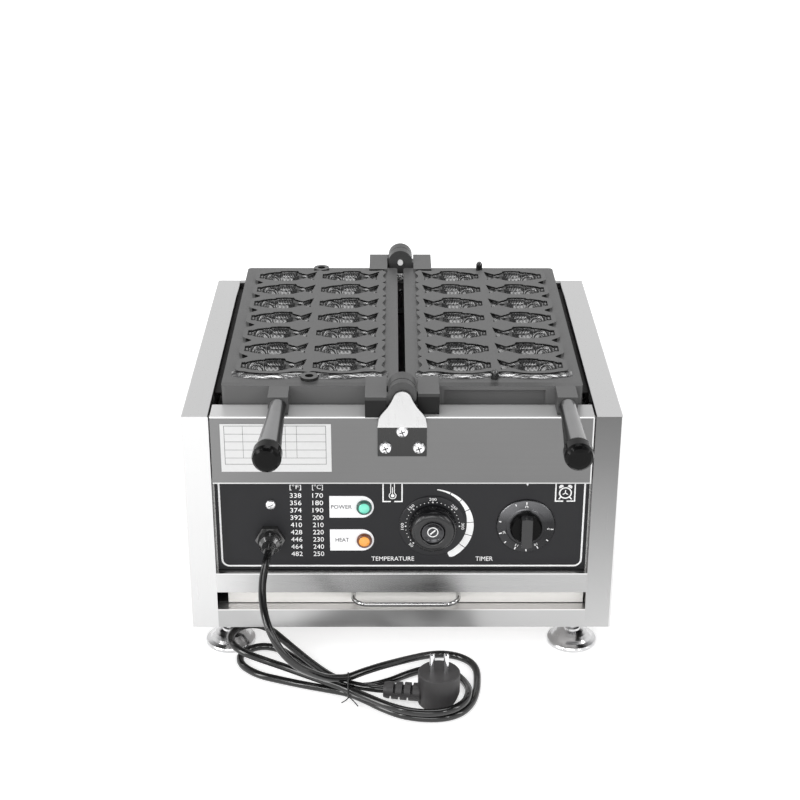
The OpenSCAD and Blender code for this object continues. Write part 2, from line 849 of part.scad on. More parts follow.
module right_handle_grip() handle_grip(0);

module left_handle_cap() handle_cap(1);

module right_handle_cap() handle_cap(0);

// Tray.

module drip_tray() {
    t = tray_t;
    color("silver") placed() {
        difference() {
            translate([tray_x0, tray_y0, tray_z0])
                cube([tray_x1 - tray_x0, tray_y1 - tray_y0,
                    tray_wall_top - tray_z0]);
            translate([tray_x0 + t, tray_y0 + 2 * t, tray_z0 + t])
                cube([tray_x1 - tray_x0 - 2 * t, tray_y1 - tray_y0 - 3 * t, 50]);
        }
        run_x(tray_x0, tray_x1)
            polygon([[tray_y0, tray_z0], [tray_y0, seam_z],
                [tray_y0 + 0.8, seam_z], [tray_y0 + 0.8, seam_z + 0.9],
                [tray_y0, seam_z + 0.9], [tray_y0, tray_top],
                [tray_y0 + 2 * t, tray_top], [tray_y0 + 2 * t, tray_z0]]);
    }
}

module tray_handle() {
    r = wire_r;
    b = pull_bend;
    color([0.85, 0.85, 0.87]) placed()
        translate([pull_x, tray_y0, pull_z]) {
            for (s = [0, 1]) mirror([s, 0, 0]) {
                translate([pull_w / 2, 0, 0]) rotate([90, 0, 0])
                    cylinder(h = pull_reach - b, r = r);
                translate([pull_w / 2 - b, -(pull_reach - b), 0])
                    rotate([0, 0, -90])
                        rotate_extrude(angle = 90)
                            translate([b, 0]) circle(r);
            }
            translate([-pull_w / 2 + b, -pull_reach, 0])
                rotate([0, 90, 0])
                    cylinder(h = pull_w - 2 * b, r = r);
        }
}

// Knobs.

module temperature_knob()
    color([0.07, 0.07, 0.08]) placed() {
        y0 = panel_set - 1.6;
        turn_front(temp_x, y0, knob_z)
            polygon([[0, 0], [knob_r, 0], [knob_r, 2],
                [knob_r - 0.8, knob_h - 2.4], [knob_r - 3, knob_h],
                [knob_r - 6, knob_h], [knob_r - 8, knob_h - 2], [0, knob_h - 2]]);
        translate([temp_x, sheet_y + sheet_t + 13, knob_z]) rotate([90, 0, 0])
            cylinder(h = sheet_y + sheet_t + 13 - y0 + 1, r = shaft_r);
    }

module knob_cap()
    color([0.25, 0.25, 0.27]) placed()
        turn_front(temp_x, panel_set - 1.6 - knob_h + 2, knob_z)
            polygon([[0, 0], [10.6, 0], [10.6, 1.4], [9.8, 2.2], [0, 2.2]]);

module timer_skirt()
    color([0.3, 0.3, 0.32]) placed() {
        y0 = panel_set - 0.4;
        turn_front(timer_x, y0, knob_z)
            polygon([[0, 0], [skirt_r, 0], [skirt_r, 1], [skirt_r - 0.6, 1.6],
                [timer_grip_r + 4, 2.4], [timer_grip_r + 3, 3], [0, 3]]);
        translate([timer_x, sheet_y + sheet_t + 13, knob_z]) rotate([90, 0, 0])
            cylinder(h = sheet_y + sheet_t + 13 - y0 + 1, r = shaft_r);
    }

module timer_grip() {
    y0 = panel_set - 3.4;
    color([0.06, 0.06, 0.07]) placed() {
        turn_front(timer_x, y0, knob_z)
            polygon([[0, 0], [timer_grip_r, 0], [timer_grip_r, 3],
                [timer_grip_r - 1.5, 5], [0, 5]]);
        run_y(y0 - 14, y0 - 1)
            translate([timer_x, knob_z]) intersection() {
                square([10, 2 * timer_grip_r], center = true);
                circle(timer_grip_r);
            }
    }
}

// Feet.

module foot(sx, far) {
    x = sx * (in_w - foot_side);
    y = far ? housing_d - foot_in : foot_in;
    r = foot_r;
    s = foot_stud_r;
    z = housing_bottom;
    color([0.8, 0.8, 0.82]) placed() translate([x, y, 0]) {
        rotate_extrude()
            polygon([[0, 0], [r - 1.4, 0], [r, 1.4], [r, 3.8], [r - 0.8, 5.2],
                [r - 2.6, 6], [r - 4.6, 7.2], [r - 7, 9.6], [r - 9.8, 12],
                [r - 13, 13.8], [s + 3, 15.2], [s + 2.4, 17], [s, 17.6],
                [s, z + sheet_t + 3], [0, z + sheet_t + 3]]);
        translate([0, 0, z - 5]) cylinder(h = 5, r = s + 4, $fn = 6);
    }
}

module foot_front_left() foot(-1, false);

module foot_front_right() foot(1, false);

module foot_rear_left() foot(-1, true);

module foot_rear_right() foot(1, true);

// Cord.

// A smooth curve through the given points, n steps between each pair.
function smooth(p, n) = let(e = concat([2 * p[0] - p[1]], p,
    [2 * p[len(p) - 1] - p[len(p) - 2]]))
    concat([for (i = [0 : len(p) - 2], k = [0 : n - 1])
        let(t = k / n, a = e[i], b = e[i + 1], c = e[i + 2], d = e[i + 3])
        0.5 * (2 * b + (c - a) * t + (2 * a - 5 * b + 4 * c - d) * t * t
            + (3 * b - a - 3 * c + d) * t * t * t)], [p[len(p) - 1]]);

function unit(v) = v / norm(v);

function tangent(p, i) = unit(p[min(i + 1, len(p) - 1)] - p[max(i - 1, 0)]);

// Side directions carried along the curve without twist.
function sides_of(p, start) =
    [for (i = 0, u = unit(start - tangent(p, 0) * (start * tangent(p, 0)));
        i < len(p);
        i = i + 1,
        u = i < len(p) ? unit(u - tangent(p, i) * (u * tangent(p, i))) : u) u];

// A tube of m sides along the points p.
module tube(p, r, m, start) {
    n = len(p);
    u = sides_of(p, start);
    pts = [for (i = [0 : n - 1], k = [0 : m - 1])
        let(t = tangent(p, i), v = cross(t, u[i]), a = 360 * k / m)
        p[i] + r * (cos(a) * u[i] + sin(a) * v)];
    walls = [for (i = [0 : n - 2], k = [0 : m - 1])
        let(a = i * m + k, b = i * m + (k + 1) % m)
        each [[a, a + m, b], [b, a + m, b + m]]];
    cap0 = [for (k = [1 : m - 2]) [0, k, k + 1]];
    cap1 = [for (k = [1 : m - 2])
        [(n - 1) * m, (n - 1) * m + k + 1, (n - 1) * m + k]];
    polyhedron(points = pts, faces = concat(walls, cap0, cap1));
}

gland_tip = -20;
lead_points = [[-123.3, gland_tip, 128.5], [-123.6, -28, 128.3],
    [-125, -41, 125], [-126.6, -57, 116.5], [-125.6, -73, 107],
    [-122, -87, 97], [-116, -96.5, 85.5], [-107, -101, 71], [-95, -99, 56],
    [-82, -90, 42], [-70, -79, 30]];
hank_points = [[-70, -79, 30], [-60, -71, 24], [-50, -63.5, 20],
    [-36, -53, 19], [-20, -40, 16.5], [-4, -27, 13], [12, -14, 9],
    [27, -4, 5.8], [41, 0, 4], [55, -4, 3.8], [66, -14, 3.8], [71, -28, 3.8],
    [71, -46, 3.8], [69, -64, 3.8], [64, -82, 3.8], [54, -97, 3.8],
    [39, -105, 3.8], [20, -106, 3.8], [0, -101, 3.8], [-18, -90, 3.8],
    [-34, -77, 3.8], [-50, -66, 3.8], [-70, -59, 3.8], [-92, -52, 3.8],
    [-114, -44, 3.8], [-133, -36, 3.8], [-147, -25, 3.8], [-154, -14, 3.8],
    [-155, -2, 3.8], [-149, 8, 3.8], [-138, 14, 3.8], [-126, 13, 3.8],
    [-115, 6, 3.8], [-103, -7, 3.8], [-88, -23, 3.8], [-70, -40, 3.8],
    [-50, -53, 3.8], [-31, -54, 3.8], [-12, -46, 3.8], [6, -34, 3.8],
    [22, -26, 3.8], [37, -25, 3.8], [49, -32, 3.8], [57, -45, 4.6],
    [61, -61, 8], [61.5, -76, 11.2], [57, -92, 11.8], [45, -104, 11.8],
    [28, -109, 11.8], [8, -107, 11.8], [-12, -98, 11.8], [-32, -84, 11.8],
    [-50, -70.5, 11.4], [-70, -59, 11.8], [-92, -46, 12], [-114, -34, 13],
    [-134, -25, 15], [-150, -17, 17], [-161, -7, 19], [-165, 5, 20],
    [-161, 17, 21], [-151, 25, 21.5], [-138, 26, 20.5], [-126, 19, 18.8],
    [-114, 6, 16.5], [-101, -9, 14], [-86, -27, 12.2], [-68, -47, 11.4],
    [-50, -60.5, 11.4], [-38, -66, 11.6], [-26, -70.2, 12], [-14.5, -72, 12]];

lead_path = smooth(lead_points, 2);
hank_path = smooth(hank_points, 2);

// The least gap of the hank to itself, measured between rings that are
// more than three diameters apart along the cord.
fine = smooth(hank_points, 5);
skip = 9;
gaps = [for (i = [0 : len(fine) - 1 - skip])
    min([for (j = [i + skip : len(fine) - 1]) norm(fine[i] - fine[j])])];
echo("least gap of the cord to itself", min(gaps) - cord_d);

module cord_lead()
    color([0.05, 0.05, 0.05]) placed()
        tube(lead_path, cord_d / 2, 8, [0, 0, 1]);

module cord_hank()
    color([0.05, 0.05, 0.05]) placed()
        tube(hank_path, cord_d / 2, 6, [0, 0, 1]);

// A thin wire round the five strands at x = -50.
module cord_tie() {
    y = [-63.5, -66, -53, -70.5, -60.5];
    z = [20, 3.8, 3.8, 11.4, 11.4];
    color([0.15, 0.15, 0.15]) placed()
        run_x(-50.8, -49.2) difference() {
            hull() for (i = [0 : 4])
                translate([y[i], z[i]]) circle(cord_d / 2 + 1.1, $fn = 24);
            hull() for (i = [0 : 4])
                translate([y[i], z[i]]) circle(cord_d / 2 + 0.1, $fn = 24);
            translate([-90, -10]) square([80, 10.1]);
        }
}

module cord_gland() {
    color([0.06, 0.06, 0.06]) placed() {
        translate([gland_x, panel_set, gland_z]) rotate([90, 0, 0])
            cylinder(h = 6, r = 14, $fn = 6);
        turn_front(gland_x, panel_set - 6, gland_z)
            polygon([[0, 0], [11.4, 0], [11.2, 5], [9.8, 9.6],
                [6.8, 13], [5.9, 15.4], [4.7, 22], [0, 22]]);
        translate([gland_x, sheet_y + sheet_t, gland_z]) rotate([90, 0, 0])
            cylinder(h = sheet_y + sheet_t - panel_set + 1, r = 7);
        translate([gland_x, sheet_y + sheet_t + 5, gland_z])
            rotate([90, 0, 0]) cylinder(h = 5, r = 12, $fn = 6);
    }
}

// Plug.

plug_x = 34;
plug_y = -75;
plug_r = 19.4;
plug_h = 34;
sleeve_z = 12;

// The sleeve behind the plug, notched from both sides in turn.
module strain_relief()
    color([0.07, 0.07, 0.07]) placed()
        translate([plug_x - 17, plug_y - 1.5, sleeve_z])
            rotate([0, -90, -8])
                difference() {
                    rotate_extrude()
                        polygon([[0, 0], [8.6, 0], [8.4, 20], [7.9, 31],
                            [7, 34], [0, 34]]);
                    for (i = [0 : 2], s = [0, 1])
                        rotate([0, 0, 180 * s])
                            translate([1.5, -12, 6.5 + i * 8 + 4 * s])
                                cube([12, 24, 2.2]);
                }

module plug_body()
    color([0.06, 0.06, 0.06]) placed() difference() {
        translate([plug_x, plug_y, 0]) {
            intersection() {
                rotate_extrude()
                    polygon([[0, 0.3], [plug_r - 2, 0.3], [plug_r, 2.3],
                        [plug_r, plug_h - 1], [plug_r - 1, plug_h],
                        [0, plug_h]]);
                run_y(-plug_r - 1, plug_r + 1)
                    polygon([[-plug_r - 1, 0], [plug_r - 13, 0],
                        [plug_r + 1, 15], [plug_r + 1, plug_h + 1],
                        [-plug_r - 1, plug_h + 1]]);
            }
            translate([-18.5, -8.5, 3]) cube([8, 17, 18]);
        }
        for (s = [-1, 1])
            translate([plug_x + s * 6.5, plug_y, plug_h - 8])
                cylinder(h = 10, r = 2.4);
    }

module plug_pins()
    color("silver") placed()
        for (s = [-1, 1])
            translate([plug_x + s * 6.5, plug_y, plug_h - 8])
                rotate_extrude()
                    polygon([[0, 0], [2.4, 0], [2.4, 26], [1.4, 27], [0, 27]]);

side_panel_left();
side_panel_right();
base_pan();
fascia();
control_plate();
front_apron();
rear_panel();
heat_shield();
mould_rests();
tray_rails();
heater_left();
heater_right();
heater_supports();
thermostat_body();
timer_body();
temperature_dial();
power_lamp();
heat_lamp();
lamp_plates();
rating_plate();
cord_gland();
terminal_screw();
front_hinge_bracket();
front_hinge_pin();
rear_hinge_bracket();
rear_hinge_pin();
hinge_washers();
bracket_screws();
foot_front_left();
foot_front_right();
foot_rear_left();
foot_rear_right();
cord_lead();
cord_hank();
cord_tie();
strain_relief();
plug_body();
plug_pins();
left_mould();
left_knuckles();
left_handle_stud();
left_handle_grip();
left_handle_cap();
right_mould();
right_knuckles();
locating_pins();
right_handle_stud();
right_handle_grip();
right_handle_cap();
drip_tray();
tray_handle();
temperature_knob();
knob_cap();
timer_skirt();
timer_grip();
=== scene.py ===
import math
import bpy
import numpy as np
from mathutils import Matrix, Vector


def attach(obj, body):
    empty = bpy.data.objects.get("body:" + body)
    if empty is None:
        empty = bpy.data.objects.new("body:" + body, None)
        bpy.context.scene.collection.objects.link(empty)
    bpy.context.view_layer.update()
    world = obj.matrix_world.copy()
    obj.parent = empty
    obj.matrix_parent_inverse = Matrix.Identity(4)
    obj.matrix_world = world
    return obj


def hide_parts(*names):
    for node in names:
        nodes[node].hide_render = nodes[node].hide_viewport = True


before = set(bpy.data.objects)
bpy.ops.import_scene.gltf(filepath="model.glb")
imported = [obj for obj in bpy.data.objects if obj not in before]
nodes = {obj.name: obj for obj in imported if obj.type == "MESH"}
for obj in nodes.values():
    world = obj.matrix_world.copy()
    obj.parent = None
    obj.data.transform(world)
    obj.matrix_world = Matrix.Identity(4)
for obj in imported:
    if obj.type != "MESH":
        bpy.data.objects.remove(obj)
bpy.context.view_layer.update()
scene = bpy.context.scene

# Places are written as in the CAD source: x, y behind the front plane and
# z above the counter, in millimetres.
FRONT_Y = -146.0733


def place(x, y, z):
    """A place of the CAD source in the scene's metres."""
    return (x / 1000, (y + FRONT_Y) / 1000, z / 1000)


def add_object(name, data):
    obj = bpy.data.objects.new(name, data)
    scene.collection.objects.link(obj)
    return obj


# ---------------------------------------------------------------- camera

CAMERA_SPOT = (-9.803, -1341.634, 871.455)
PITCH, YAW, ROLL = math.radians(25.603), math.radians(0.3344), math.radians(0.1424)


def add_camera():
    """The camera that was fitted to the photograph."""
    data = bpy.data.cameras.new("camera")
    data.sensor_fit = "HORIZONTAL"
    data.sensor_width = 36
    data.lens = 73.70
    data.shift_y = 0.0562
    data.clip_start, data.clip_end = 0.05, 50
    cam = add_object("camera", data)
    ahead = Vector((math.sin(YAW) * math.cos(PITCH), math.cos(YAW) * math.cos(PITCH),
                    -math.sin(PITCH)))
    right = Vector((math.cos(YAW), -math.sin(YAW), 0))
    up = right.cross(ahead)
    rolled_right = right * math.cos(ROLL) + up * math.sin(ROLL)
    rolled_up = up * math.cos(ROLL) - right * math.sin(ROLL)
    matrix = Matrix((rolled_right, rolled_up, -ahead)).transposed().to_4x4()
    matrix.translation = Vector(place(*CAMERA_SPOT))
    cam.matrix_world = matrix
    scene.camera = cam


add_camera()


# ---------------------------------------------------------- shader tools

WHITE = (1, 1, 1, 1)


def add_node(nt, kind, values=None, **settings):
    """A shader node. Its inputs, by name or number, get a value or a link to a socket."""
    node = nt.nodes.new("ShaderNode" + kind)
    for key, value in settings.items():
        setattr(node, key, value)
    for key, value in (values or {}).items():
        if isinstance(value, bpy.types.NodeSocket):
            nt.links.new(value, node.inputs[key])
        else:
            node.inputs[key].default_value = value
    return node


def maths(nt, operation, a, b):
    return add_node(nt, "Math", {0: a, 1: b}, operation=operation).outputs[0]


def mixed(nt, fac, a, b, blend="MIX"):
    """A mix of two colours, each one a socket or red, green, blue and alpha."""
    values = {"Factor": fac, "A": a, "B": b}
    return add_node(nt, "Mix", values, data_type="RGBA", blend_type=blend).outputs["Result"]


def noise(nt, vector, scale, detail):
    values = {"Vector": vector, "Scale": scale, "Detail": detail}
    return add_node(nt, "TexNoise", values).outputs["Fac"]


def spread(nt, value, from_min, from_max, to_min=0.0, to_max=1.0):
    values = {"Value": value, "From Min": from_min, "From Max": from_max,
              "To Min": to_min, "To Max": to_max}
    return add_node(nt, "MapRange", values).outputs["Result"]


def axes_of(nt, space="Object"):
    """X, Y and Z of a point, in the piece's own metres unless another space is named."""
    return add_node(nt, "SeparateXYZ", {0: add_node(nt, "TexCoord").outputs[space]}).outputs


def triple(v):
    return tuple(v) if isinstance(v, tuple) else (v, v, v)


def seen_directly(nt):
    """1 on camera, glossy and transmission rays, and 0 on the rays that light the scene."""
    rays = add_node(nt, "LightPath").outputs
    seen = maths(nt, "MAXIMUM", rays["Is Camera Ray"], rays["Is Glossy Ray"])
    return maths(nt, "MAXIMUM", seen, rays["Is Transmission Ray"])


# -------------------------------------------------------------- finishes

FINISHES = {}


def finish(name, base, rough=0.4, metal=0.0, stretch=300, grain=0.06, tone=0.05,
           tone_scale=9.0, bump=0.1, depth=0.0002, rough_vary=0.05, coat=0.0,
           coat_rough=0.1, spec=0.5, fine=None):
    """A procedural finish: fine grain stretched along the brushing or casting,
    a slow change of tone, and both in the roughness and the bump."""
    m = bpy.data.materials.new(name)
    m.use_nodes = True
    nt = m.node_tree
    shader = nt.nodes["Principled BSDF"]
    for key, value in (("Metallic", metal), ("Specular IOR Level", spec),
                       ("Coat Weight", coat), ("Coat Roughness", coat_rough)):
        shader.inputs[key].default_value = value
    base = triple(base)
    coords = add_node(nt, "TexCoord").outputs["Object"]
    stretched = add_node(nt, "Mapping", {"Vector": coords, "Scale": triple(stretch)})
    streaks = noise(nt, stretched.outputs["Vector"], 1.0, 4)
    slow = noise(nt, coords, tone_scale, 2)
    dark = tuple(c * (1 - grain) for c in base) + (1,)
    light = tuple(min(1, c * (1 + grain)) for c in base) + (1,)
    grained = mixed(nt, streaks, dark, light)
    toned = mixed(nt, slow, triple(1 - tone) + (1,), triple(1 + tone) + (1,))
    colour = mixed(nt, 1, grained, toned, "MULTIPLY")
    roughness = spread(nt, streaks, 0.3, 0.7, max(0.02, rough - rough_vary), rough + rough_vary)
    height = maths(nt, "ADD", streaks, noise(nt, coords, fine, 3)) if fine else streaks
    relief = add_node(nt, "Bump", {"Strength": bump, "Distance": depth, "Height": height})
    nt.links.new(colour, shader.inputs["Base Color"])
    nt.links.new(roughness, shader.inputs["Roughness"])
    nt.links.new(relief.outputs["Normal"], shader.inputs["Normal"])
    FINISHES[name] = m


def repaint(name, new, fac=1, blend="MIX"):
    """Puts a colour over the colour that a finish has so far."""
    nt = FINISHES[name].node_tree
    colour = nt.nodes["Principled BSDF"].inputs["Base Color"]
    nt.links.new(mixed(nt, fac, colour.links[0].from_socket, new, blend), colour)


def grey_ramp(nt, axis, stops):
    """Greys along an axis, by stops (place in millimetres, value)."""
    lo, hi = stops[0][0], stops[-1][0]
    along = spread(nt, axes_of(nt)["XYZ".index(axis)], lo / 1000, hi / 1000)
    ramp = add_node(nt, "ValToRGB", {"Fac": along})
    marks = ramp.color_ramp.elements
    marks[0].position, marks[1].position = 0, 1
    for p, v in stops[1:-1]:
        marks.new((p - lo) / (hi - lo))
    for mark, (p, v) in zip(sorted(marks, key=lambda e: e.position), stops):
        mark.color = triple(v) + (1,)
    return ramp.outputs["Color"]


def mask(nt, limits):
    """1 between the limits (axis, low, high) in millimetres, and 0 elsewhere."""
    axes = axes_of(nt)
    fac = None
    for axis, lo, hi in limits:
        off = FRONT_Y if axis == "Y" else 0
        for operation, v in (("GREATER_THAN", lo), ("LESS_THAN", hi)):
            test = maths(nt, operation, axes["XYZ".index(axis)], (v + off) / 1000)
            fac = maths(nt, "MULTIPLY", fac, test) if fac else test
    return fac


def zoned(name, axis, stops):
    """Multiplies a finish's colour by greys along an axis."""
    repaint(name, grey_ramp(FINISHES[name].node_tree, axis, stops), 1, "MULTIPLY")


def masked(name, colour, *limits):
    """Another colour, or greys along an axis as (axis, stops), between limits."""
    nt = FINISHES[name].node_tree
    if isinstance(colour, tuple) and isinstance(colour[0], str):
        new = grey_ramp(nt, *colour)
    else:
        new = triple(colour) + (1,)
    repaint(name, new, mask(nt, limits))


def masked_value(name, socket, value, *limits):
    """Another metallic, coat or specular value between limits."""
    nt = FINISHES[name].node_tree
    s = nt.nodes["Principled BSDF"].inputs[socket]
    values = {"Factor": mask(nt, limits), "A": s.default_value, "B": value}
    nt.links.new(add_node(nt, "Mix", values).outputs["Result"], s)


def worn(name, dark, bright, lo, hi):
    """Painted shade in the grooves, and crests made bright for wear and as a painted highlight."""
    nt = FINISHES[name].node_tree
    crest = spread(nt, add_node(nt, "NewGeometry").outputs["Pointiness"], lo, hi)
    repaint(name, mixed(nt, crest, triple(dark) + (1,), triple(bright) + (1,)), 1, "MULTIPLY")


def on_side(side, lo, hi):
    """Limits of X at a distance from the middle: side 1 is the right and -1 the left."""
    return ("X", lo, hi) if side > 0 else ("X", -hi, -lo)


# Limits that several finishes use
FRONT = ("Y", -1, 0.05)
BACK = ("Y", 359.8, 362)
LEDGE = (("Z", 256.4, 257), ("Y", 0.3, 30))
FLANGE = ("Z", 273.9, 274.1)
MOULD_WALL = ("Z", 250, 273.8)
TIMER_GRIP_X = ("X", 95, 135)
GRIP_INSIDES = ("X", -108.0, 143.4)
UPRIGHT, ACROSS = (500, 500, 8), (6, 500, 500)

# Sheet of the housing
# The right column's front gets a painted reflection: greys that darken towards the top.
RIGHT_FRONT_REFLECTION = ("Z", [(35, 0.48), (100, 0.36), (160, 0.25), (215, 0.17), (256, 0.135)])
for side, name, front in ((-1, "column_steel", 0.63), (1, "column_right", RIGHT_FRONT_REFLECTION)):
    finish(name, 0.63, 0.30, 1.0, UPRIGHT, 0.02, 0.02, bump=0.02, rough_vary=0.03)
    masked(name, front, FRONT)
    # On the right column, a painted highlight along the outer edge of the front.
    if side > 0:
        masked(name, 0.66, FRONT, on_side(side, 198.4, 201))
    # Painted shade: the outer side and the back are darker, and the inner side facing the moulds
    # is near black.
    masked(name, 0.42, on_side(side, 199.9, 201), ("Y", 0.2, 400))
    masked(name, 0.44, BACK)
    masked(name, 0.02, on_side(side, 170, 175.6), ("Y", 2, 400))
finish("apron_steel", 0.165, 0.34, 1.0, ACROSS, 0.05, 0.10, 5, bump=0.03, rough_vary=0.03)
# Painted highlights along the apron's top edge, its lower edge and its right end.
masked("apron_steel", 0.85, FRONT, ("Z", 255.3, 257))
masked("apron_steel", 0.50, FRONT, ("Z", 188, 190.2))
masked("apron_steel", 0.60, FRONT, ("X", 172.6, 174))
# Painted reflection: the ledge on top of the apron is painted paler, and is made less metallic.
masked("apron_steel", 0.52, *LEDGE)
masked_value("apron_steel", "Metallic", 0.35, *LEDGE)
# Painted reflection: the apron is paler towards its left end.
zoned("apron_steel", "X", [(-176, 1.22), (-70, 1.0), (176, 1.0)])
finish("strip_steel", (0.40, 0.397, 0.393), 0.26, 1.0, ACROSS, 0.03, 0.05, 5, bump=0.02,
       rough_vary=0.03)
# The fascia's front has a painted reflection, greys along X, and a painted highlight along its top
# edge.
masked("strip_steel", ("X", [(-176, 0.60), (-150, 0.51), (-122, 0.35), (-60, 0.28),
                             (-22, 0.217), (10, 0.19), (32, 0.19), (48, 0.30), (62, 0.385),
                             (176, 0.405)]), FRONT)
masked("strip_steel", 0.70, FRONT, ("Z", 92.9, 95))
finish("base_steel", (0.56, 0.55, 0.545), 0.30, 0.8, ACROSS, 0.03, 0.05, 5, bump=0.02,
       rough_vary=0.03)
# The base pan's front has a painted reflection, greys along X, and a painted highlight along its
# top edge.
masked("base_steel", ("X", [(-176, 0.44), (-150, 0.46), (-105, 0.55), (-60, 0.46), (-5, 0.40),
                            (50, 0.42), (75, 0.47), (176, 0.48)]), FRONT)
masked("base_steel", (0.80, 0.79, 0.78), FRONT, ("Z", 53.6, 55.5))
finish("tray_steel", (0.93, 0.915, 0.885), 0.34, 0.25, ACROSS, 0.02, 0.03, 5, bump=0.02,
       rough_vary=0.03)
finish("back_steel", 0.44, 0.34, 1.0, ACROSS, 0.03, 0.04, 6, bump=0.03, rough_vary=0.03)
finish("inner_steel", 0.35, 0.45, 1.0, 30, 0.06, 0.08, 12, bump=0.05)
# The mould rests and heater supports are painted near black: painted shade in the gap where they
# are seen.
finish("shade_black_steel", (0.018, 0.017, 0.017), 0.6, 0.2, 60, 0.2, 0.3, 20, bump=0.1, spec=0.2)

# Castings
finish("mould_coat", 0.092, 0.40, 0.0, 900, 0.12, 0.08, 14, bump=0.08, depth=0.0003,
       rough_vary=0.05, fine=2600)
masked("mould_coat", 0.088, FLANGE, ("Y", 30, 352))
# Painted reflection along the front strip of the moulds' flange.
masked("mould_coat", ("X", [(-166, 0.070), (-120, 0.086), (-75, 0.062), (-20, 0.062),
                            (30, 0.050), (70, 0.040), (120, 0.042), (150, 0.080),
                            (166, 0.080)]), FLANGE, ("Y", 29, 38))
# Painted light: the moulds' front faces are paler than the rest of the coat.
masked("mould_coat", 0.145, MOULD_WALL, ("Y", 29, 36.5))
# Painted shade: the walls of the land and of the fish pockets are near black.
for side in (1, -1):
    masked("mould_coat", 0.010, ("Z", 274.1, 276.8), on_side(side, 17.4, 151.5))
# Painted shade: near black at the front of the moulds by the front hinge.
masked("mould_coat", 0.016, ("Z", 250, 276.7), ("Y", -5, 5.7), ("X", -34, 34))
# Painted shade on the moulds' outer side walls.
for side in (1, -1):
    masked("mould_coat", 0.008, MOULD_WALL, on_side(side, 164.8, 170))
masked_value("mould_coat", "Specular IOR Level", 0.12, MOULD_WALL)
# Painted shade: near black on the walls below the flange, along the moulds' sides.
masked("mould_coat", 0.010, ("Z", 264.5, 273.8), ("Y", 50, 346))
finish("fillet_coat", 0.34, 0.18, 1.0, (70, 200, 70), 0.7, 0.5, 70, bump=0.3, depth=0.003,
       rough_vary=0.08)
# Painted highlight along the fillet's lower slope and painted shade at its upper edge.
zoned("fillet_coat", "Z", [(273.6, 0.35), (274.1, 0.7), (274.9, 1.25), (275.6, 0.9),
                           (276.2, 0.12), (277.0, 0.08)])
# At the sides and back, painted shade: the fillet is near black above its foot.
masked("fillet_coat", ("Z", [(273.6, 0.30), (274.6, 0.06), (275.6, 0.012), (277.0, 0.010)]),
       ("Y", 66, 352))
finish("cavity_coat", 0.5, 0.25, 1.0, 700, 0.25, 0.2, 60, bump=0.18, depth=0.0004,
       rough_vary=0.06, fine=1800)
# Painted shade in the fish's grooves and painted highlights on their crests.
worn("cavity_coat", 0.10, 0.57, 0.47, 0.565)
# Painted shade near the rim of each pocket, near black.
masked("cavity_coat", 0.010, ("Z", 275.5, 278))
finish("arm_coat", 0.050, 0.42, 0.0, 900, 0.15, 0.1, 14, bump=0.1, depth=0.0003, fine=2600)

# Bright and dark metal
finish("foot_chrome", (0.66, 0.66, 0.665), 0.22, 1.0, 160, 0.08, 0.10, 60, bump=0.12,
       depth=0.0005, rough_vary=0.08)
finish("screw_chrome", (0.72, 0.72, 0.73), 0.24, 0.9, 260, 0.05, 0.08, 90, bump=0.05)
finish("chrome", (0.80, 0.80, 0.81), 0.14, 1.0, 200, 0.02, 0.02, 20, bump=0.02,
       rough_vary=0.02)
finish("handle_chrome", 1.0, 0.12, 1.0, 200, 0.02, 0.02, 20, bump=0.02, rough_vary=0.02)
# a painted highlight along the top of the rod, and painted shade below
zoned("handle_chrome", "Z", [(63.9, 0.2), (65.5, 0.08), (66.9, 0.2), (67.3, 0.8), (68.1, 0.8)])
# The hinge pins' ends are painted near white in place of chrome: a painted highlight.
finish("pin_end", 0.95, 0.35, 0.1, 200, 0.03, 0.03, 20, bump=0.04, rough_vary=0.03)
finish("dark_steel", 0.10, 0.25, 1.0, 300, 0.1, 0.1, 20, bump=0.05)
finish("bracket_steel", 0.60, 0.30, 1.0, (300, 300, 10), 0.02, 0.03, bump=0.03)
# Painted reflection: the brackets' flanges are dark and the ears above them pale.
zoned("bracket_steel", "Z", [(200, 0.075), (248.6, 0.085), (249.2, 0.85), (251.8, 1.0),
                             (290, 1.0)])
finish("washer_steel", 0.30, 0.35, 1.0, 300, 0.05, 0.05)
finish("heater_sheath", (0.10, 0.095, 0.095), 0.45, 1.0, 200, 0.15, 0.2, 20, bump=0.15)

# Grips, cord and controls
finish("grip_coat", (0.12, 0.12, 0.122), 0.34, 0.0, 1200, 0.15, 0.1, 20, bump=0.12,
       depth=0.0003, spec=0.6, fine=3200, coat=0.7, coat_rough=0.06)
# Painted shade on the side of each grip that faces the middle; there the coat and the specular
# level are lowered too.
zoned("grip_coat", "X", [(-130, 1.0), (-109.4, 1.0), (-107.0, 0.08), (142.4, 0.08),
                         (144.8, 1.0), (165, 1.0)])
masked_value("grip_coat", "Coat Weight", 0.0, GRIP_INSIDES)
masked_value("grip_coat", "Specular IOR Level", 0.15, GRIP_INSIDES)
finish("black_gloss", 0.003, 0.16, 0.0, 500, 0.2, 0.2, 30, bump=0.03, rough_vary=0.03,
       spec=0.12)
finish("gland_black", 0.010, 0.22, 0.0, 700, 0.2, 0.2, 30, bump=0.06, rough_vary=0.05,
       spec=0.9, coat=1.0, coat_rough=0.06)
finish("cord_jacket", 0.004, 0.14, 0.0, 260, 0.25, 0.2, 40, bump=0.05, depth=0.0002,
       rough_vary=0.03, spec=0.65)
finish("wire_tie", 0.02, 0.35, 0.0, 500, 0.2, 0.1, 30, bump=0.1)
finish("plug_rubber", (0.045, 0.043, 0.044), 0.50, 0.0, 900, 0.2, 0.12, 40, bump=0.2,
       depth=0.0003, fine=2500)
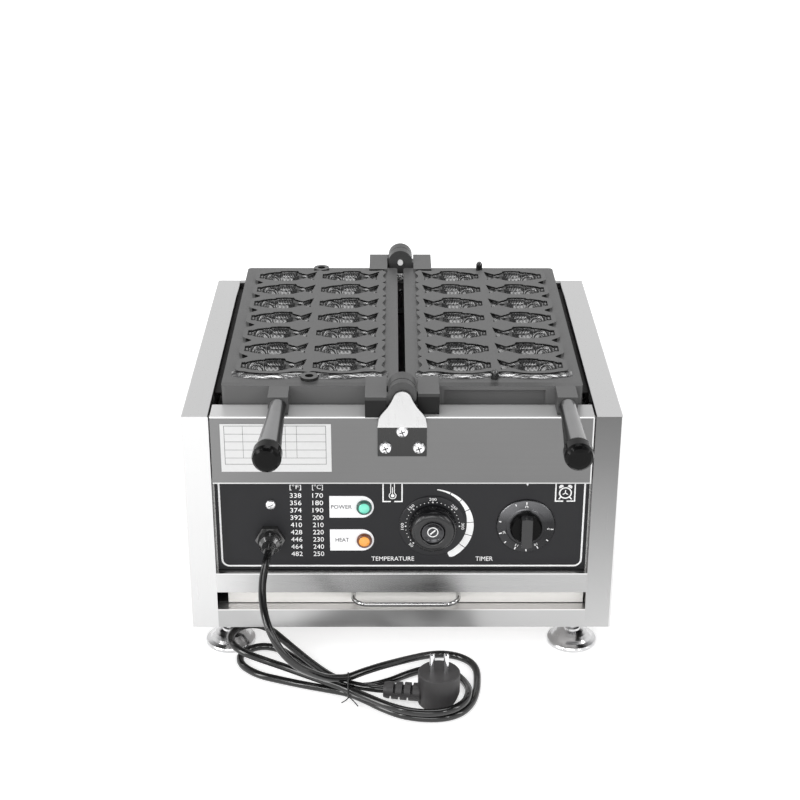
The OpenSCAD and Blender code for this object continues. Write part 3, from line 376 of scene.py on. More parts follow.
finish("panel_black", (0.012, 0.012, 0.014), 0.42, 0.0, 1500, 0.25, 0.18, 14, bump=0.10,
       depth=0.0002, spec=0.3)
finish("dial_black", (0.012, 0.012, 0.014), 0.34, 0.0, 1500, 0.25, 0.15, 20, bump=0.06,
       spec=0.35)
finish("knob_black", (0.007, 0.007, 0.008), 0.24, 0.0, 700, 0.2, 0.15, 30, bump=0.008,
       rough_vary=0.02, spec=0.55)
masked("knob_black", (0.018, 0.018, 0.019), ("Y", -12, -0.7), TIMER_GRIP_X)
masked("knob_black", 0.002, ("Y", -0.6, 20), TIMER_GRIP_X)
masked_value("knob_black", "Specular IOR Level", 0.10, ("Y", -0.6, 20), TIMER_GRIP_X)
finish("knob_metal", (0.060, 0.060, 0.063), 0.22, 1.0, 500, 0.10, 0.08, 30, bump=0.02,
       rough_vary=0.03)
finish("skirt_metal", (0.10, 0.10, 0.104), 0.28, 1.0, 500, 0.08, 0.12, 40, bump=0.02,
       rough_vary=0.03)
# Painted reflection on the timer's skirt: paler towards the top, darker towards the bottom and the
# right.
zoned("skirt_metal", "Z", [(112, 0.55), (132, 0.45), (146, 0.5), (156, 1.25), (170, 1.7)])
zoned("skirt_metal", "X", [(86, 1.0), (98, 1.0), (110, 0.8), (140, 0.62), (146, 0.8)])
finish("ceramic", (0.72, 0.68, 0.60), 0.55, 0.0, 400, 0.05, 0.06, 30, bump=0.2)

# Prints, labels and lamps
finish("white_print", 0.93, 0.5, 0.0, 900, 0.02, 0.01, 20, bump=0.05)
finish("grey_print", (0.07, 0.07, 0.075), 0.5, 0.0, 900, 0.05, 0.03, 20, bump=0.05)
finish("dark_mark", 0.02, 0.5, 0.0, 900, 0.1, 0.05, 20, bump=0.05)
finish("label_white", (0.93, 0.93, 0.94), 0.35, 0.0, 900, 0.01, 0.01, 20, bump=0.03)
finish("label_silver", 0.66, 0.36, 0.45, (400, 10, 400), 0.04, 0.03, 12, bump=0.03)
for name, lens, rim in (("green", (0.18, 0.72, 0.54), (0.006, 0.085, 0.06)),
                        ("orange", (0.95, 0.40, 0.06), (0.15, 0.035, 0.004))):
    finish(name + "_lens", lens, 0.12, 0.0, 300, 0.05, 0.08, 80, bump=0.05, coat=0.6,
           coat_rough=0.05, spec=0.6)
    finish(name + "_rim", rim, 0.15, 0.0, 300, 0.1, 0.1, 60, coat=0.5, spec=0.6)
# The two lamp lenses glow. The white print and the white lamp plates get a painted glow that makes
# them brighter.
for name, glow, strength in (("green_lens", (0.16, 0.70, 0.52, 1), 0.27),
                             ("orange_lens", (1.0, 0.36, 0.04, 1), 0.2),
                             ("white_print", WHITE, 0.14), ("label_white", WHITE, 0.16)):
    shader = FINISHES[name].node_tree.nodes["Principled BSDF"]
    shader.inputs["Emission Color"].default_value = glow
    shader.inputs["Emission Strength"].default_value = strength

NODE_FINISH = {
    "column_steel": "side_panel_left",
    "column_right": "side_panel_right",
    "apron_steel": "front_apron",
    "strip_steel": "fascia",
    "base_steel": "base_pan",
    "tray_steel": "drip_tray",
    "back_steel": "rear_panel",
    "inner_steel": "heat_shield tray_rails",
    "shade_black_steel": "mould_rests heater_supports",
    "panel_black": "control_plate",
    "dial_black": "temperature_dial",
    "knob_black": "temperature_knob timer_grip",
    "knob_metal": "knob_cap",
    "skirt_metal": "timer_skirt",
    "green_lens": "power_lamp",
    "orange_lens": "heat_lamp",
    "label_white": "lamp_plates",
    "label_silver": "rating_plate",
    "ceramic": "thermostat_body timer_body",
    "heater_sheath": "heater_left heater_right",
    "mould_coat": "left_mould right_mould",
    "arm_coat": "left_knuckles right_knuckles",
    "grip_coat": "left_handle_grip right_handle_grip",
    "black_gloss": "left_handle_cap right_handle_cap",
    "gland_black": "cord_gland",
    "plug_rubber": "plug_body strain_relief",
    "bracket_steel": "front_hinge_bracket rear_hinge_bracket",
    "washer_steel": "hinge_washers",
    "pin_end": "front_hinge_pin rear_hinge_pin",
    "dark_steel": "locating_pins",
    "chrome": "terminal_screw bracket_screws plug_pins left_handle_stud right_handle_stud",
    "handle_chrome": "tray_handle",
    "foot_chrome": "foot_front_left foot_front_right foot_rear_left foot_rear_right",
}
for name, pieces in NODE_FINISH.items():
    for piece in pieces.split():
        for slot in nodes[piece].material_slots:
            slot.material = FINISHES[name]


# ------------------------------------------------------------ mesh tools

def add_mesh(name, verts, faces, body, coat, smooth=True, scale=True):
    """A piece of millimetre points in the CAD's places, or of metres without scale."""
    data = bpy.data.meshes.new(name)
    points = [place(*v) if scale else tuple(v) for v in verts]
    data.from_pydata(points, [], [tuple(f) for f in faces])
    data.validate()
    data.update()
    data.shade_smooth() if smooth else data.shade_flat()
    data.materials.append(FINISHES[coat])
    obj = add_object(name, data)
    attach(obj, body)
    return obj


def circle_point(x, z, r, a):
    return (x + r * math.cos(a), z + r * math.sin(a))


class Flat:
    """Thin raised shapes on a plane that faces the front, drawn in x and z."""

    def __init__(self, y, thick=0.14):
        self.y, self.t, self.v, self.f = y, thick, [], []

    def area(self, pts):
        """A filled convex outline, with its sides and back."""
        n, k = len(pts), len(self.v)
        turn = sum(a[0] * b[1] - b[0] * a[1] for a, b in zip(pts, pts[1:] + pts[:1]))
        if turn < 0:
            pts = pts[::-1]
        self.v += [(x, self.y - self.t, z) for x, z in pts] + [(x, self.y, z) for x, z in pts]
        self.f.append([k + i for i in range(n)])
        self.f.append([k + n + i for i in reversed(range(n))])
        self.f += [[k + i, k + n + i, k + n + (i + 1) % n, k + (i + 1) % n] for i in range(n)]

    def band(self, inner, outer, closed=False):
        """A strip between two lines of points."""
        m = len(inner)
        for i in range(m if closed else m - 1):
            j = (i + 1) % m
            self.area([inner[i], inner[j], outer[j], outer[i]])

    def line(self, pts, w, closed=False):
        """A mitred stroke along the points."""
        p = [Vector(q) for q in pts]
        n = len(p)
        left, right = [], []
        for i in range(n):
            a = p[i - 1] if closed or i > 0 else None
            b = p[(i + 1) % n] if closed or i < n - 1 else None
            d1 = (p[i] - a).normalized() if a is not None else (b - p[i]).normalized()
            d2 = (b - p[i]).normalized() if b is not None else d1
            t = (d1 + d2).normalized()
            m = Vector((-t.y, t.x))
            k = w / 2 / max(0.4, m.dot(Vector((-d1.y, d1.x))))
            left.append(tuple(p[i] + m * k))
            right.append(tuple(p[i] - m * k))
        self.band(left, right, closed)

    def disc(self, x, z, r, n=20):
        self.area([circle_point(x, z, r, 2 * math.pi * i / n) for i in range(n)])

    def ring(self, x, z, r, w, n=40, a0=0, a1=360):
        turns = [math.radians(a0 + (a1 - a0) * i / n) for i in range(n + 1)]
        self.band([circle_point(x, z, r - w / 2, a) for a in turns],
                  [circle_point(x, z, r + w / 2, a) for a in turns])

    def text(self, words, box, turn=0.0, bold=0.0):
        """Plain lettering in Blender's own font, fitted to a box x0, x1, z0, z1."""
        c = bpy.data.curves.new("letters", "FONT")
        c.body = words
        c.size = 1
        c.offset = bold
        c.extrude = 0.5
        c.resolution_u = 3
        o = bpy.data.objects.new("letters", c)
        m = bpy.data.meshes.new_from_object(o)
        xs = [v.co.x for v in m.vertices]
        ys = [v.co.y for v in m.vertices]
        x0, x1, z0, z1 = box
        kx = (x1 - x0) / (max(xs) - min(xs))
        kz = (z1 - z0) / (max(ys) - min(ys))
        cx, cz = (x0 + x1) / 2, (z0 + z1) / 2
        mx, mz = (max(xs) + min(xs)) / 2, (max(ys) + min(ys)) / 2
        ca, sa = math.cos(turn), math.sin(turn)
        k = len(self.v)
        for v in m.vertices:
            a, b = (v.co.x - mx) * kx, (v.co.y - mz) * kz
            y = self.y - self.t * (v.co.z + 0.5)
            self.v.append((cx + a * ca - b * sa, y, cz + a * sa + b * ca))
        self.f += [[k + i for i in p.vertices] for p in m.polygons]
        bpy.data.objects.remove(o)
        bpy.data.curves.remove(c)
        bpy.data.meshes.remove(m)

    def make(self, name, body, coat):
        return add_mesh(name, self.v, self.f, body, coat, smooth=False)


def lathe(name, profile, x, y, z, body, coat, n=64):
    """A ring or dome turned about an axis along Y: profile of (radius, height to the front)."""
    v, f = [], []
    m = len(profile)
    for i in range(n):
        a = 2 * math.pi * i / n
        v += [(x + r * math.cos(a), y - h, z + r * math.sin(a)) for r, h in profile]
        j = (i + 1) % n
        f += [[i * m + k, i * m + k + 1, j * m + k + 1, j * m + k] for k in range(m - 1)]
    return add_mesh(name, v, f, body, coat)


def tube_mesh(points, r, m=10, closed=False):
    """Vertices and faces of a round tube along points, capped at both ends."""
    p = [Vector(q) for q in points]
    n = len(p)
    v, f = [], []
    t0 = (p[1] - p[0]).normalized()
    u = t0.cross(Vector((0.31, 0.2, 0.93))).normalized()
    for i in range(n):
        a = p[i - 1] if closed or i > 0 else p[i]
        b = p[(i + 1) % n] if closed or i < n - 1 else p[i]
        t = (b - a).normalized()
        u = (u - t * u.dot(t)).normalized()
        w = t.cross(u)
        for k in range(m):
            turn = 2 * math.pi * k / m
            v.append(tuple(p[i] + u * (r * math.cos(turn)) + w * (r * math.sin(turn))))
    for i in range(n if closed else n - 1):
        a, b = i * m, (i + 1) % n * m
        f += [[a + k, a + (k + 1) % m, b + (k + 1) % m, b + k] for k in range(m)]
    if not closed:
        f.append([k for k in reversed(range(m))])
        f.append([(n - 1) * m + k for k in range(m)])
    return v, f


def smooth_path(p, n):
    """A curve through the points, n steps between each pair."""
    p = [Vector(q) for q in p]
    e = [2 * p[0] - p[1]] + p + [2 * p[-1] - p[-2]]
    out = []
    for i in range(len(p) - 1):
        a, b, c, d = e[i:i + 4]
        for k in range(n):
            t = k / n
            out.append(0.5 * (2 * b + (c - a) * t + (2 * a - 5 * b + 4 * c - d) * t * t
                              + (3 * b - a - 3 * c + d) * t ** 3))
    return out + [p[-1]]


# ------------------------------------------------------------------ cord

# The route from the gland, as in the CAD source: the lead, then the hank
ROUTE = [
    (-123.3, -20, 128.5), (-123.6, -28, 128.3), (-125, -41, 125), (-126.6, -57, 116.5),
    (-125.6, -73, 107), (-122, -87, 97), (-116, -96.5, 85.5), (-107, -101, 71), (-95, -99, 56),
    (-82, -90, 42), (-70, -79, 30), (-60, -71, 24), (-50, -63.5, 20), (-36, -53, 19),
    (-20, -40, 16.5), (-4, -27, 13), (12, -14, 9), (27, -4, 5.8), (41, 0, 4), (55, -4, 3.8),
    (66, -14, 3.8), (71, -28, 3.8), (71, -46, 3.8), (69, -64, 3.8), (64, -82, 3.8),
    (54, -97, 3.8), (39, -105, 3.8), (20, -106, 3.8), (0, -101, 3.8), (-18, -90, 3.8),
    (-34, -77, 3.8), (-50, -66, 3.8), (-70, -59, 3.8), (-92, -52, 3.8), (-114, -44, 3.8),
    (-133, -36, 3.8), (-147, -25, 3.8), (-154, -14, 3.8), (-155, -2, 3.8), (-149, 8, 3.8),
    (-138, 14, 3.8), (-126, 13, 3.8), (-115, 6, 3.8), (-103, -7, 3.8), (-88, -23, 3.8),
    (-70, -40, 3.8), (-50, -53, 3.8), (-31, -54, 3.8), (-12, -46, 3.8), (6, -34, 3.8),
    (22, -26, 3.8), (37, -25, 3.8), (49, -32, 3.8), (57, -45, 4.6), (61, -61, 8),
    (61.5, -76, 11.2), (57, -92, 11.8), (45, -104, 11.8), (28, -109, 11.8), (8, -107, 11.8),
    (-12, -98, 11.8), (-32, -84, 11.8), (-50, -70.5, 11.4), (-70, -59, 11.8), (-92, -46, 12),
    (-114, -34, 13), (-134, -25, 15), (-150, -17, 17), (-161, -7, 19), (-165, 5, 20),
    (-161, 17, 21), (-151, 25, 21.5), (-138, 26, 20.5), (-126, 19, 18.8), (-114, 6, 16.5),
    (-101, -9, 14), (-86, -27, 12.2), (-68, -47, 11.4), (-50, -60.5, 11.4), (-38, -66, 11.6),
    (-26, -70.2, 12), (-14.5, -72, 12)]
CORD_R = 3.6
# The strands at the tie, as y, z and the turn of the wire round each in degrees
STRANDS = [(-63.5, 20, 130, 30), (-60.5, 11.4, 20, -5), (-53, 3.8, 15, -60),
           (-66, 3.8, -105, -150), (-70.5, 11.4, -165, -205)]
TIE_X = -50
WIRE_R = 0.55


def add_cord():
    path = smooth_path(ROUTE, 6)
    c = bpy.data.curves.new("mains_cord", "CURVE")
    c.dimensions = "3D"
    s = c.splines.new("POLY")
    s.points.add(len(path) - 1)
    for q, p in zip(s.points, path):
        q.co = (*place(*p), 1)
    s.use_smooth = True
    c.bevel_depth = CORD_R / 1000
    c.bevel_resolution = 7
    c.use_fill_caps = True
    c.materials.append(FINISHES["cord_jacket"])
    cord = add_object("mains_cord", c)
    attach(cord, "housing")
    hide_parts("cord_lead", "cord_hank")
    return cord


def add_tie():
    """A thin wire round the five strands, with its ends twisted at the front."""
    r = CORD_R + WIRE_R
    loop = []
    for y, z, a0, a1 in STRANDS:
        for k in range(5):
            a = math.radians(a0 + (a1 - a0) * k / 4)
            loop.append((TIE_X, y + r * math.cos(a), max(0.75, z + r * math.sin(a))))
    v, f = tube_mesh(smooth_path(loop + [loop[0]], 3)[:-1], WIRE_R + 0.1, 8, closed=True)
    tails = [[(-51.8, -82.4, 7.2), (-55.8, -82.5, 4.4)], [(-44.6, -82.4, 6.2), (-40.4, -85, 2.2)]]
    for start, tail in zip((0, math.pi), tails):
        twist = [(TIE_X + 0.6 * math.cos(start + k * 1.1) + 0.10 * k, -74.6 - 0.5 * k,
                  13.2 + 0.6 * math.sin(start + k * 1.1) - 0.30 * k) for k in range(12)]
        v2, f2 = tube_mesh(smooth_path(twist + tail, 4), WIRE_R, 8)
        k = len(v)
        v += v2
        f += [[k + i for i in q] for q in f2]
    tie = add_mesh("wire_tie", v, f, "housing", "wire_tie")
    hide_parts("cord_tie")
    return tie


cord = add_cord()
tie = add_tie()


# ------------------------------------------------- floor, light and world

FLOOR_HALF = 6


def add_floor():
    """A white floor that glows more with the distance, so the far part is pure white."""
    s = FLOOR_HALF
    d = bpy.data.meshes.new("floor")
    d.from_pydata([(-s, -s, 0), (s, -s, 0), (s, s, 0), (-s, s, 0)], [], [(0, 1, 2, 3)])
    floor = add_object("floor", d)
    m = bpy.data.materials.new("floor")
    m.use_nodes = True
    nt = m.node_tree
    nt.nodes.clear()
    coords = add_node(nt, "TexCoord").outputs["Object"]
    far = add_node(nt, "VectorMath", {0: coords}, operation="LENGTH").outputs["Value"]
    strength = maths(nt, "MULTIPLY", seen_directly(nt), spread(nt, far, 0.35, 1.6, 0.57, 1.0))
    paint = add_node(nt, "BsdfDiffuse", {"Color": (0.80, 0.80, 0.80, 1)})
    glow = add_node(nt, "Emission", {"Color": WHITE, "Strength": strength})
    both = add_node(nt, "AddShader", {0: paint.outputs[0], 1: glow.outputs[0]})
    add_node(nt, "OutputMaterial", {"Surface": both.outputs[0]})
    d.materials.append(m)


def add_world():
    """A soft white dome. In reflections it darkens towards the top."""
    w = bpy.data.worlds.new("studio")
    scene.world = w
    w.use_nodes = True
    nt = w.node_tree
    nt.nodes.clear()
    dome = add_node(nt, "ValToRGB", {"Fac": axes_of(nt, "Generated")["Z"]})
    low, high = dome.color_ramp.elements
    low.position, low.color = 0.47, WHITE
    high.position, high.color = 0.80, (0.13, 0.13, 0.135, 1)
    glossy = add_node(nt, "LightPath").outputs["Is Glossy Ray"]
    tone = mixed(nt, glossy, WHITE, dome.outputs["Color"])
    soft = add_node(nt, "Background", {"Color": WHITE, "Strength": 0.42})
    seen = add_node(nt, "Background", {"Color": tone, "Strength": 1.0})
    values = {0: seen_directly(nt), 1: soft.outputs[0], 2: seen.outputs[0]}
    mix = add_node(nt, "MixShader", values)
    add_node(nt, "OutputWorld", {"Surface": mix.outputs[0]})


def add_light(name, spot, aim, size, watts):
    d = bpy.data.lights.new(name, "AREA")
    d.shape = "RECTANGLE"
    d.size, d.size_y = size
    d.energy = watts
    o = add_object(name, d)
    o.location = spot
    o.rotation_mode = "QUATERNION"
    o.rotation_quaternion = (Vector(aim) - Vector(spot)).to_track_quat("-Z", "Y")


add_floor()
add_world()
add_light("top_softbox", (0.0, 0.25, 2.1), (0, 0, 0.2), (1.3, 1.0), 15)
add_light("left_strip", (-1.9, -1.1, 1.1), (0, 0, 0.2), (0.45, 1.5), 16)
add_light("right_strip", (1.9, -0.7, 1.3), (0, 0, 0.2), (0.35, 1.3), 8)
add_light("front_fill", (-0.3, -2.6, 1.5), (0, 0, 0.15), (1.6, 0.9), 15)
add_light("left_line", (-1.25, -1.5, 1.15), (0, 0, 0.15), (0.10, 1.1), 5)
add_light("right_line", (1.15, -1.7, 1.35), (0, 0, 0.15), (0.10, 1.1), 4)
scene.view_settings.view_transform = "Standard"


# ---------------------------------------------------------- fish cavities

LAND = 277.0
COL_X0, COL_PITCH, ROW_Y0, ROW_PITCH = 53.0, 67.0, 72.65, 40.8
COLS, ROWS = 2, 7
FISH_HALF = 30.4
# Outlines and half widths along one fish: u from the mouth, v towards the back fin
TAIL = [(40, -7), (44, -6), (49, -4.6), (54, -9), (58.6, -12), (58, -4), (59.4, 4), (60.8, 14),
        (56, 10), (50, 4.8), (44, 7), (40, 8)]
FIN = [(20, 8), (21.5, 15), (30, 16.4), (40, 15.6), (42, 10), (44, 4), (20, 4)]
GIRTH = [(0, 0.52), (3.4, 0.58), (8, 0.72), (15, 0.87), (23, 0.97), (29, 1), (35, 0.97),
         (41, 0.84), (47, 0.58), (50, 0.44)]
GIRTH_R = 16
SCALE_U, SCALE_S = 3.7, 4.3
# A height that stands for no cavity
OUTSIDE = 9


def inside_distance(poly, x, y):
    """Distance to a polygon's edge, positive inside it."""
    best = np.full(x.shape, 1e9)
    inside = np.zeros(x.shape, bool)
    for (ax, ay), (bx, by) in zip(poly, poly[1:] + poly[:1]):
        dx, dy = bx - ax, by - ay
        t = np.clip(((x - ax) * dx + (y - ay) * dy) / (dx * dx + dy * dy), 0, 1)
        best = np.minimum(best, np.hypot(x - ax - t * dx, y - ay - t * dy))
        if dy:
            cross = (ay > y) != (by > y)
            inside ^= cross & (x < ax + (y - ay) * dx / dy)
    return np.where(inside, best, -best)


def step(a, b, x):
    t = np.clip((x - a) / (b - a), 0, 1)
    return t * t * (3 - 2 * t)


def bump_at(x, middle, width):
    return np.exp(-((x - middle) / width) ** 2)


def body_relief(u, v, s):
    """Mouth, gill, eye, scales and tail root. s is the way round the girth."""
    rel = 1.5 * bump_at(u, 4.9, 0.75) * step(8.0, 5.5, np.abs(s))
    # gill cover with its rings, and the eye in the middle
    rho = np.hypot(u - 14.5, s - 4.2)
    rel += 1.0 * step(7.9, 6.9, rho) * step(5.2, 6.3, rho)
    rel -= 0.15 * step(6.3, 5.4, rho)
    rel += 0.55 * bump_at(rho, 4.3, 0.5)
    rel += 0.45 * bump_at(rho, 2.7, 0.45)
    rel += 0.5 * step(1.3, 0.6, rho)
    # edge of the gill, leaning back towards the belly
    edge = u - (20.6 + 0.16 * s - 0.012 * s * s)
    rel += 0.75 * bump_at(edge, -0.9, 0.6) + 0.5 * bump_at(edge, 1.0, 0.55)
    # overlapping scales
    scales = np.zeros(u.shape)
    for shift in (0, 1):
        a = (u - 23 - shift * SCALE_U / 2) / SCALE_U
        b = (s - shift * SCALE_S / 2) / SCALE_S
        du = (a - np.round(a)) * SCALE_U
        ds = (b - np.round(b)) * SCALE_S
        scale = step(2.5, 1.6, np.hypot(du, ds)) * (0.62 - 0.13 * (du + 1.8))
        scales = np.maximum(scales, scale)
    rel += scales * step(21.5, 23.0, u) * step(46.0, 43.5, u)
    # root of the tail
    return rel + 1.1 * np.exp(-(((u - 46.8) / 1.3) ** 2 + ((v - 0.2) / 2.4) ** 2))


def fish_height(u, v):
    """Height of a cavity's floor over the land, with the fish's relief."""
    girth = GIRTH_R * np.interp(u, *zip(*GIRTH))
    r = np.where(u < 3.4, girth - 0.3, girth - 0.62)
    r = np.where((u >= 3.4) & (u < 8), 8.28 + (u - 3.4) / 4.6 * 3.24 - 0.3, r)
    w = r * r - (v + 0.5) ** 2
    body = np.where(w > 0, 5 - np.sqrt(np.maximum(w, 0)), OUTSIDE)
    body = np.where((u < 0) | (u > 50), OUTSIDE, body)
    s = r * np.arcsin(np.clip((v + 0.5) / np.maximum(r, 1), -1, 1))
    body = body + body_relief(u, v, s) * step(0.2, 2.2, -body)
    deep = inside_distance(TAIL, u, v)
    rays = 0.45 * np.cos(np.arctan2(v - 0.6, u - 46) * 22) * step(48, 51, u)
    tail = np.where(deep > 0, (-3.75 + rays) * step(0, 0.9, deep), OUTSIDE)
    deep = inside_distance(FIN, u, v)
    comb = 0.5 * np.cos((u + 0.45 * v) * 2 * np.pi / 2.5)
    fin = np.where(deep > 0, -1.0 - (3.4 - comb * 0.6) * step(0, 4.2, deep), OUTSIDE)
    fin = np.where(v < 8.5, OUTSIDE, fin)
    return np.minimum(np.minimum(np.minimum(body, tail), fin), -0.3)


def grid_quads(kept):
    """Faces between the kept points of a grid, numbered in the grid's order."""
    idx = -np.ones(kept.shape, int)
    idx[kept] = np.arange(kept.sum())
    i, j = np.nonzero(kept[:-1, :-1] & kept[1:, :-1] & kept[1:, 1:] & kept[:-1, 1:])
    return np.stack([idx[i, j], idx[i + 1, j], idx[i + 1, j + 1], idx[i, j + 1]], 1)


def fish_patch():
    """The points and faces of one cavity's floor, as u, v, height and faces."""
    us = np.concatenate([np.arange(-1.2, 24, 0.56), np.arange(24, 46, 0.72),
                         np.arange(46, 62.6, 0.8)])
    vs = np.arange(-17.2, 18.1, 0.6)
    u, v = np.meshgrid(us, vs, indexing="ij")
    z = fish_height(u, v)
    near = z < -0.31
    for _ in range(2):
        grown = near.copy()
        grown[1:] |= near[:-1]
        grown[:-1] |= near[1:]
        grown[:, 1:] |= near[:, :-1]
        grown[:, :-1] |= near[:, 1:]
        near = grown
    return u[near], v[near], z[near], grid_quads(near)[:, [0, 3, 2, 1]]


def add_relief(kind, x, y, z, faces, side, coat):
    """A relief piece of the right mould, or its mirror image on the left one."""
    body = "right_mould" if side > 0 else "left_mould"
    v = np.stack([x * side, y + FRONT_Y, z], 1) / 1000
    f = faces if side > 0 else faces[:, ::-1]
    add_mesh(body.split("_")[0] + kind, v.tolist(), f.tolist(), body, coat,
             scale=False)


def add_fish(side):
    """All the cavities of one mould. The right one's heads point to +X."""
    u, v, z, faces = fish_patch()
    spots = [(COL_X0 + c * COL_PITCH, ROW_Y0 + r * ROW_PITCH)
             for c in range(COLS) for r in range(ROWS)]
    x = np.concatenate([sx + FISH_HALF - u for sx, sy in spots])
    y = np.concatenate([sy + v for sx, sy in spots])
    f = np.concatenate([faces + k * len(u) for k in range(len(spots))])
    add_relief("_fish_relief", x, y, np.tile(z + LAND, len(spots)), f, side, "cavity_coat")


# The land's edge round a head, a tail and a belly
HEAD_EDGE = [(-20.4, 9.6), (-18.6, 8.6), (-16, 5.6), (-13, 1.8), (-10.4, 0.4), (-7, 0), (7, 0),
             (10.4, 0.4), (13, 1.8), (16, 5.6), (18.6, 8.6)]
TAIL_EDGE = [(-20.4, 3.8), (-18.6, 2), (-16, 0.3), (-13, 0), (-8.6, 0.5), (-4.6, 2.2),
             (-0.6, 3.4), (4, 2.4), (8.6, 0.7), (13, 0), (16.6, 0.2), (18.8, 1.8)]
BELLY_EDGE = [(63.6, -17.6), (59, -15.6), (54, -15.4), (48, -15.8), (43, -17.6), (36, -19.2),
              (28, -19.8), (18, -19.4), (10, -17.8), (4, -15.6), (0, -14.8)]
ROW_Y1 = ROW_Y0 + (ROWS - 1) * ROW_PITCH
# The locating pins and bosses, and the free radius round each
BOSS_X, BOSS_Y = 85.5, (46.95, 345.05)
PIN_FREE, BOSS_FREE = 4.6, 8.6
FRONT_EDGE, FRONT_W, BACK_W, SIDE_W = ROW_Y0 - 12, 9.5, 4.4, 3.0


def land_outline():
    """The scalloped edge of the raised land round one mould's fish."""
    x0, x1 = COL_X0 - FISH_HALF - 7, COL_X0 + COL_PITCH + FISH_HALF + 4.6
    belly = [(COL_X0 + c * COL_PITCH + FISH_HALF - a, b) for c in range(COLS)
             for a, b in BELLY_EDGE]
    belly = [p for p in belly if p[0] > x0 + 1]

    def along(edge):
        """Row and place of the edge's points, without the outer ends of the land."""
        return [(ROW_Y0 + j * ROW_PITCH + a, b) for j in range(ROWS) for a, b in edge
                if (j > 0 or a > -13.5) and (j < ROWS - 1 or a < 13.5)]

    head = [(x1 - b, y) for y, b in along(HEAD_EDGE)]
    tail = [(x0 + b, y) for y, b in along(TAIL_EDGE)]
    return ([(a, ROW_Y0 + b) for a, b in belly] + head
            + [(a, ROW_Y1 + 1 - b) for a, b in belly[::-1]] + tail[::-1])


def add_fillet(side):
    """The cast fillet between the land and the flange below it, wider at the front."""
    x, y = np.meshgrid(np.arange(8.4, 163.2, 1.1), np.arange(46, 345, 1.1), indexing="ij")
    d = -inside_distance(land_outline(), x, y)
    w = np.where(y < FRONT_EDGE, FRONT_W, np.where(y > ROW_Y1 + 13, BACK_W, SIDE_W))
    t = np.clip((w - d) / w, 0, 1)
    ripple = 0.35 * np.sin(x * 0.33) * np.sin(x * 0.117 + 1) * np.where(y < FRONT_EDGE, 1, 0)
    slope = (3.0 + ripple * (1 - t)) * t ** np.where(w > 9, 1.25, 1.7)
    z = np.where(d < 0, LAND - 0.25, LAND - 3.12 + slope)
    at_front = (y < ROW_Y0 - 10) & (x > 12.5) & (x < 158.5)
    behind = (x > 17.0) & (x < 152.0) & (y < ROW_Y1 + 12)
    band = (d > -2.2) & (d < w + 2.4) & (at_front | behind)
    for boss_y in BOSS_Y:
        band &= np.hypot(x - BOSS_X, y - boss_y) > (PIN_FREE if side > 0 else BOSS_FREE)
    add_relief("_land_fillet", x[band], y[band], z[band], grid_quads(band), side, "fillet_coat")


for side in (1, -1):
    add_fish(side)
    add_fillet(side)


# ---------------------------------------------------------- panel details

PANEL = 8.0
PRINT_TOP = 188.4
TEMPERATURE = (28.7, 141.0)
TIMER = (116.0, 141.0)
TERMINAL = (-122.0, 163.8)
LAMP_X, POWER_Z, HEAT_Z = -35.2, 161.1, 126.0
BRACKET_SCREWS = [(0, 243.4), (-15.2, 227.0), (15.2, 227.0)]
# Profiles of (radius, height to the front)
KNOB = [(0.01, 0), (22.2, 0), (22.2, 2.0), (22.0, 6.0), (21.5, 8.9), (20.6, 11.2), (19.2, 13.0),
        (17.4, 14.2), (15.4, 14.8), (13.4, 14.7), (12.0, 14.1), (11.1, 13.1), (10.8, 12.0),
        (10.7, 10.8), (0.01, 10.8)]
DISH = [(0.01, 10.9), (10.6, 10.9), (10.6, 13.1), (10.3, 13.5), (9.7, 13.5), (8.9, 13.0),
        (7.9, 12.3), (6.8, 11.8), (5.8, 11.55), (5.0, 11.5), (0.01, 11.5)]
LAMP_RIM = [(7.3, 0.71), (7.3, 2.5), (7.1, 3.4), (6.5, 4.2), (5.8, 4.6), (5.2, 4.4), (5.0, 3.6),
            (5.0, 0.71), (7.3, 0.71)]
SCREW_HEAD = [(0.01, 0), (5.0, 0), (5.0, 1.3), (4.7, 2.3), (3.9, 3.2), (2.6, 3.7), (0.01, 3.9)]


def print_frame(p):
    """The line round the panel, open at the top, with rounded lower corners."""
    x, low, r, n = 169.5, 98.0, 7.0, 8
    turns = [math.radians(90 * i / n) for i in range(n + 1)]
    pts = [(-x, PRINT_TOP)]
    pts += [(-x + r - r * math.cos(a), low + r - r * math.sin(a)) for a in turns]
    pts += [(x - r + r * math.sin(a), low + r - r * math.cos(a)) for a in turns]
    p.line(pts + [(x, PRINT_TOP)], 1.6)


def print_words(p):
    """The columns of degrees and the names of the knobs."""
    fahrenheit, celsius = (-104.0, -93.4), (-83.2, -73.2)
    for i in range(9):
        z = 172.8 - i * 7.73
        c = 170 + 10 * i
        p.text(str(round(c * 1.8 + 32)), (*fahrenheit, z - 2.4, z + 2.4))
        p.text(str(c), (*celsius, z - 2.4, z + 2.4))
    p.text("[°F]", (*fahrenheit, 178.2, 184.2))
    p.text("[°C]", (*celsius, 178.2, 184.2))
    p.text("TEMPERATURE", (-28.6, 11.7, 103.4, 107.9))
    p.text("TIMER", (69.7, 86, 103.3, 107.9))


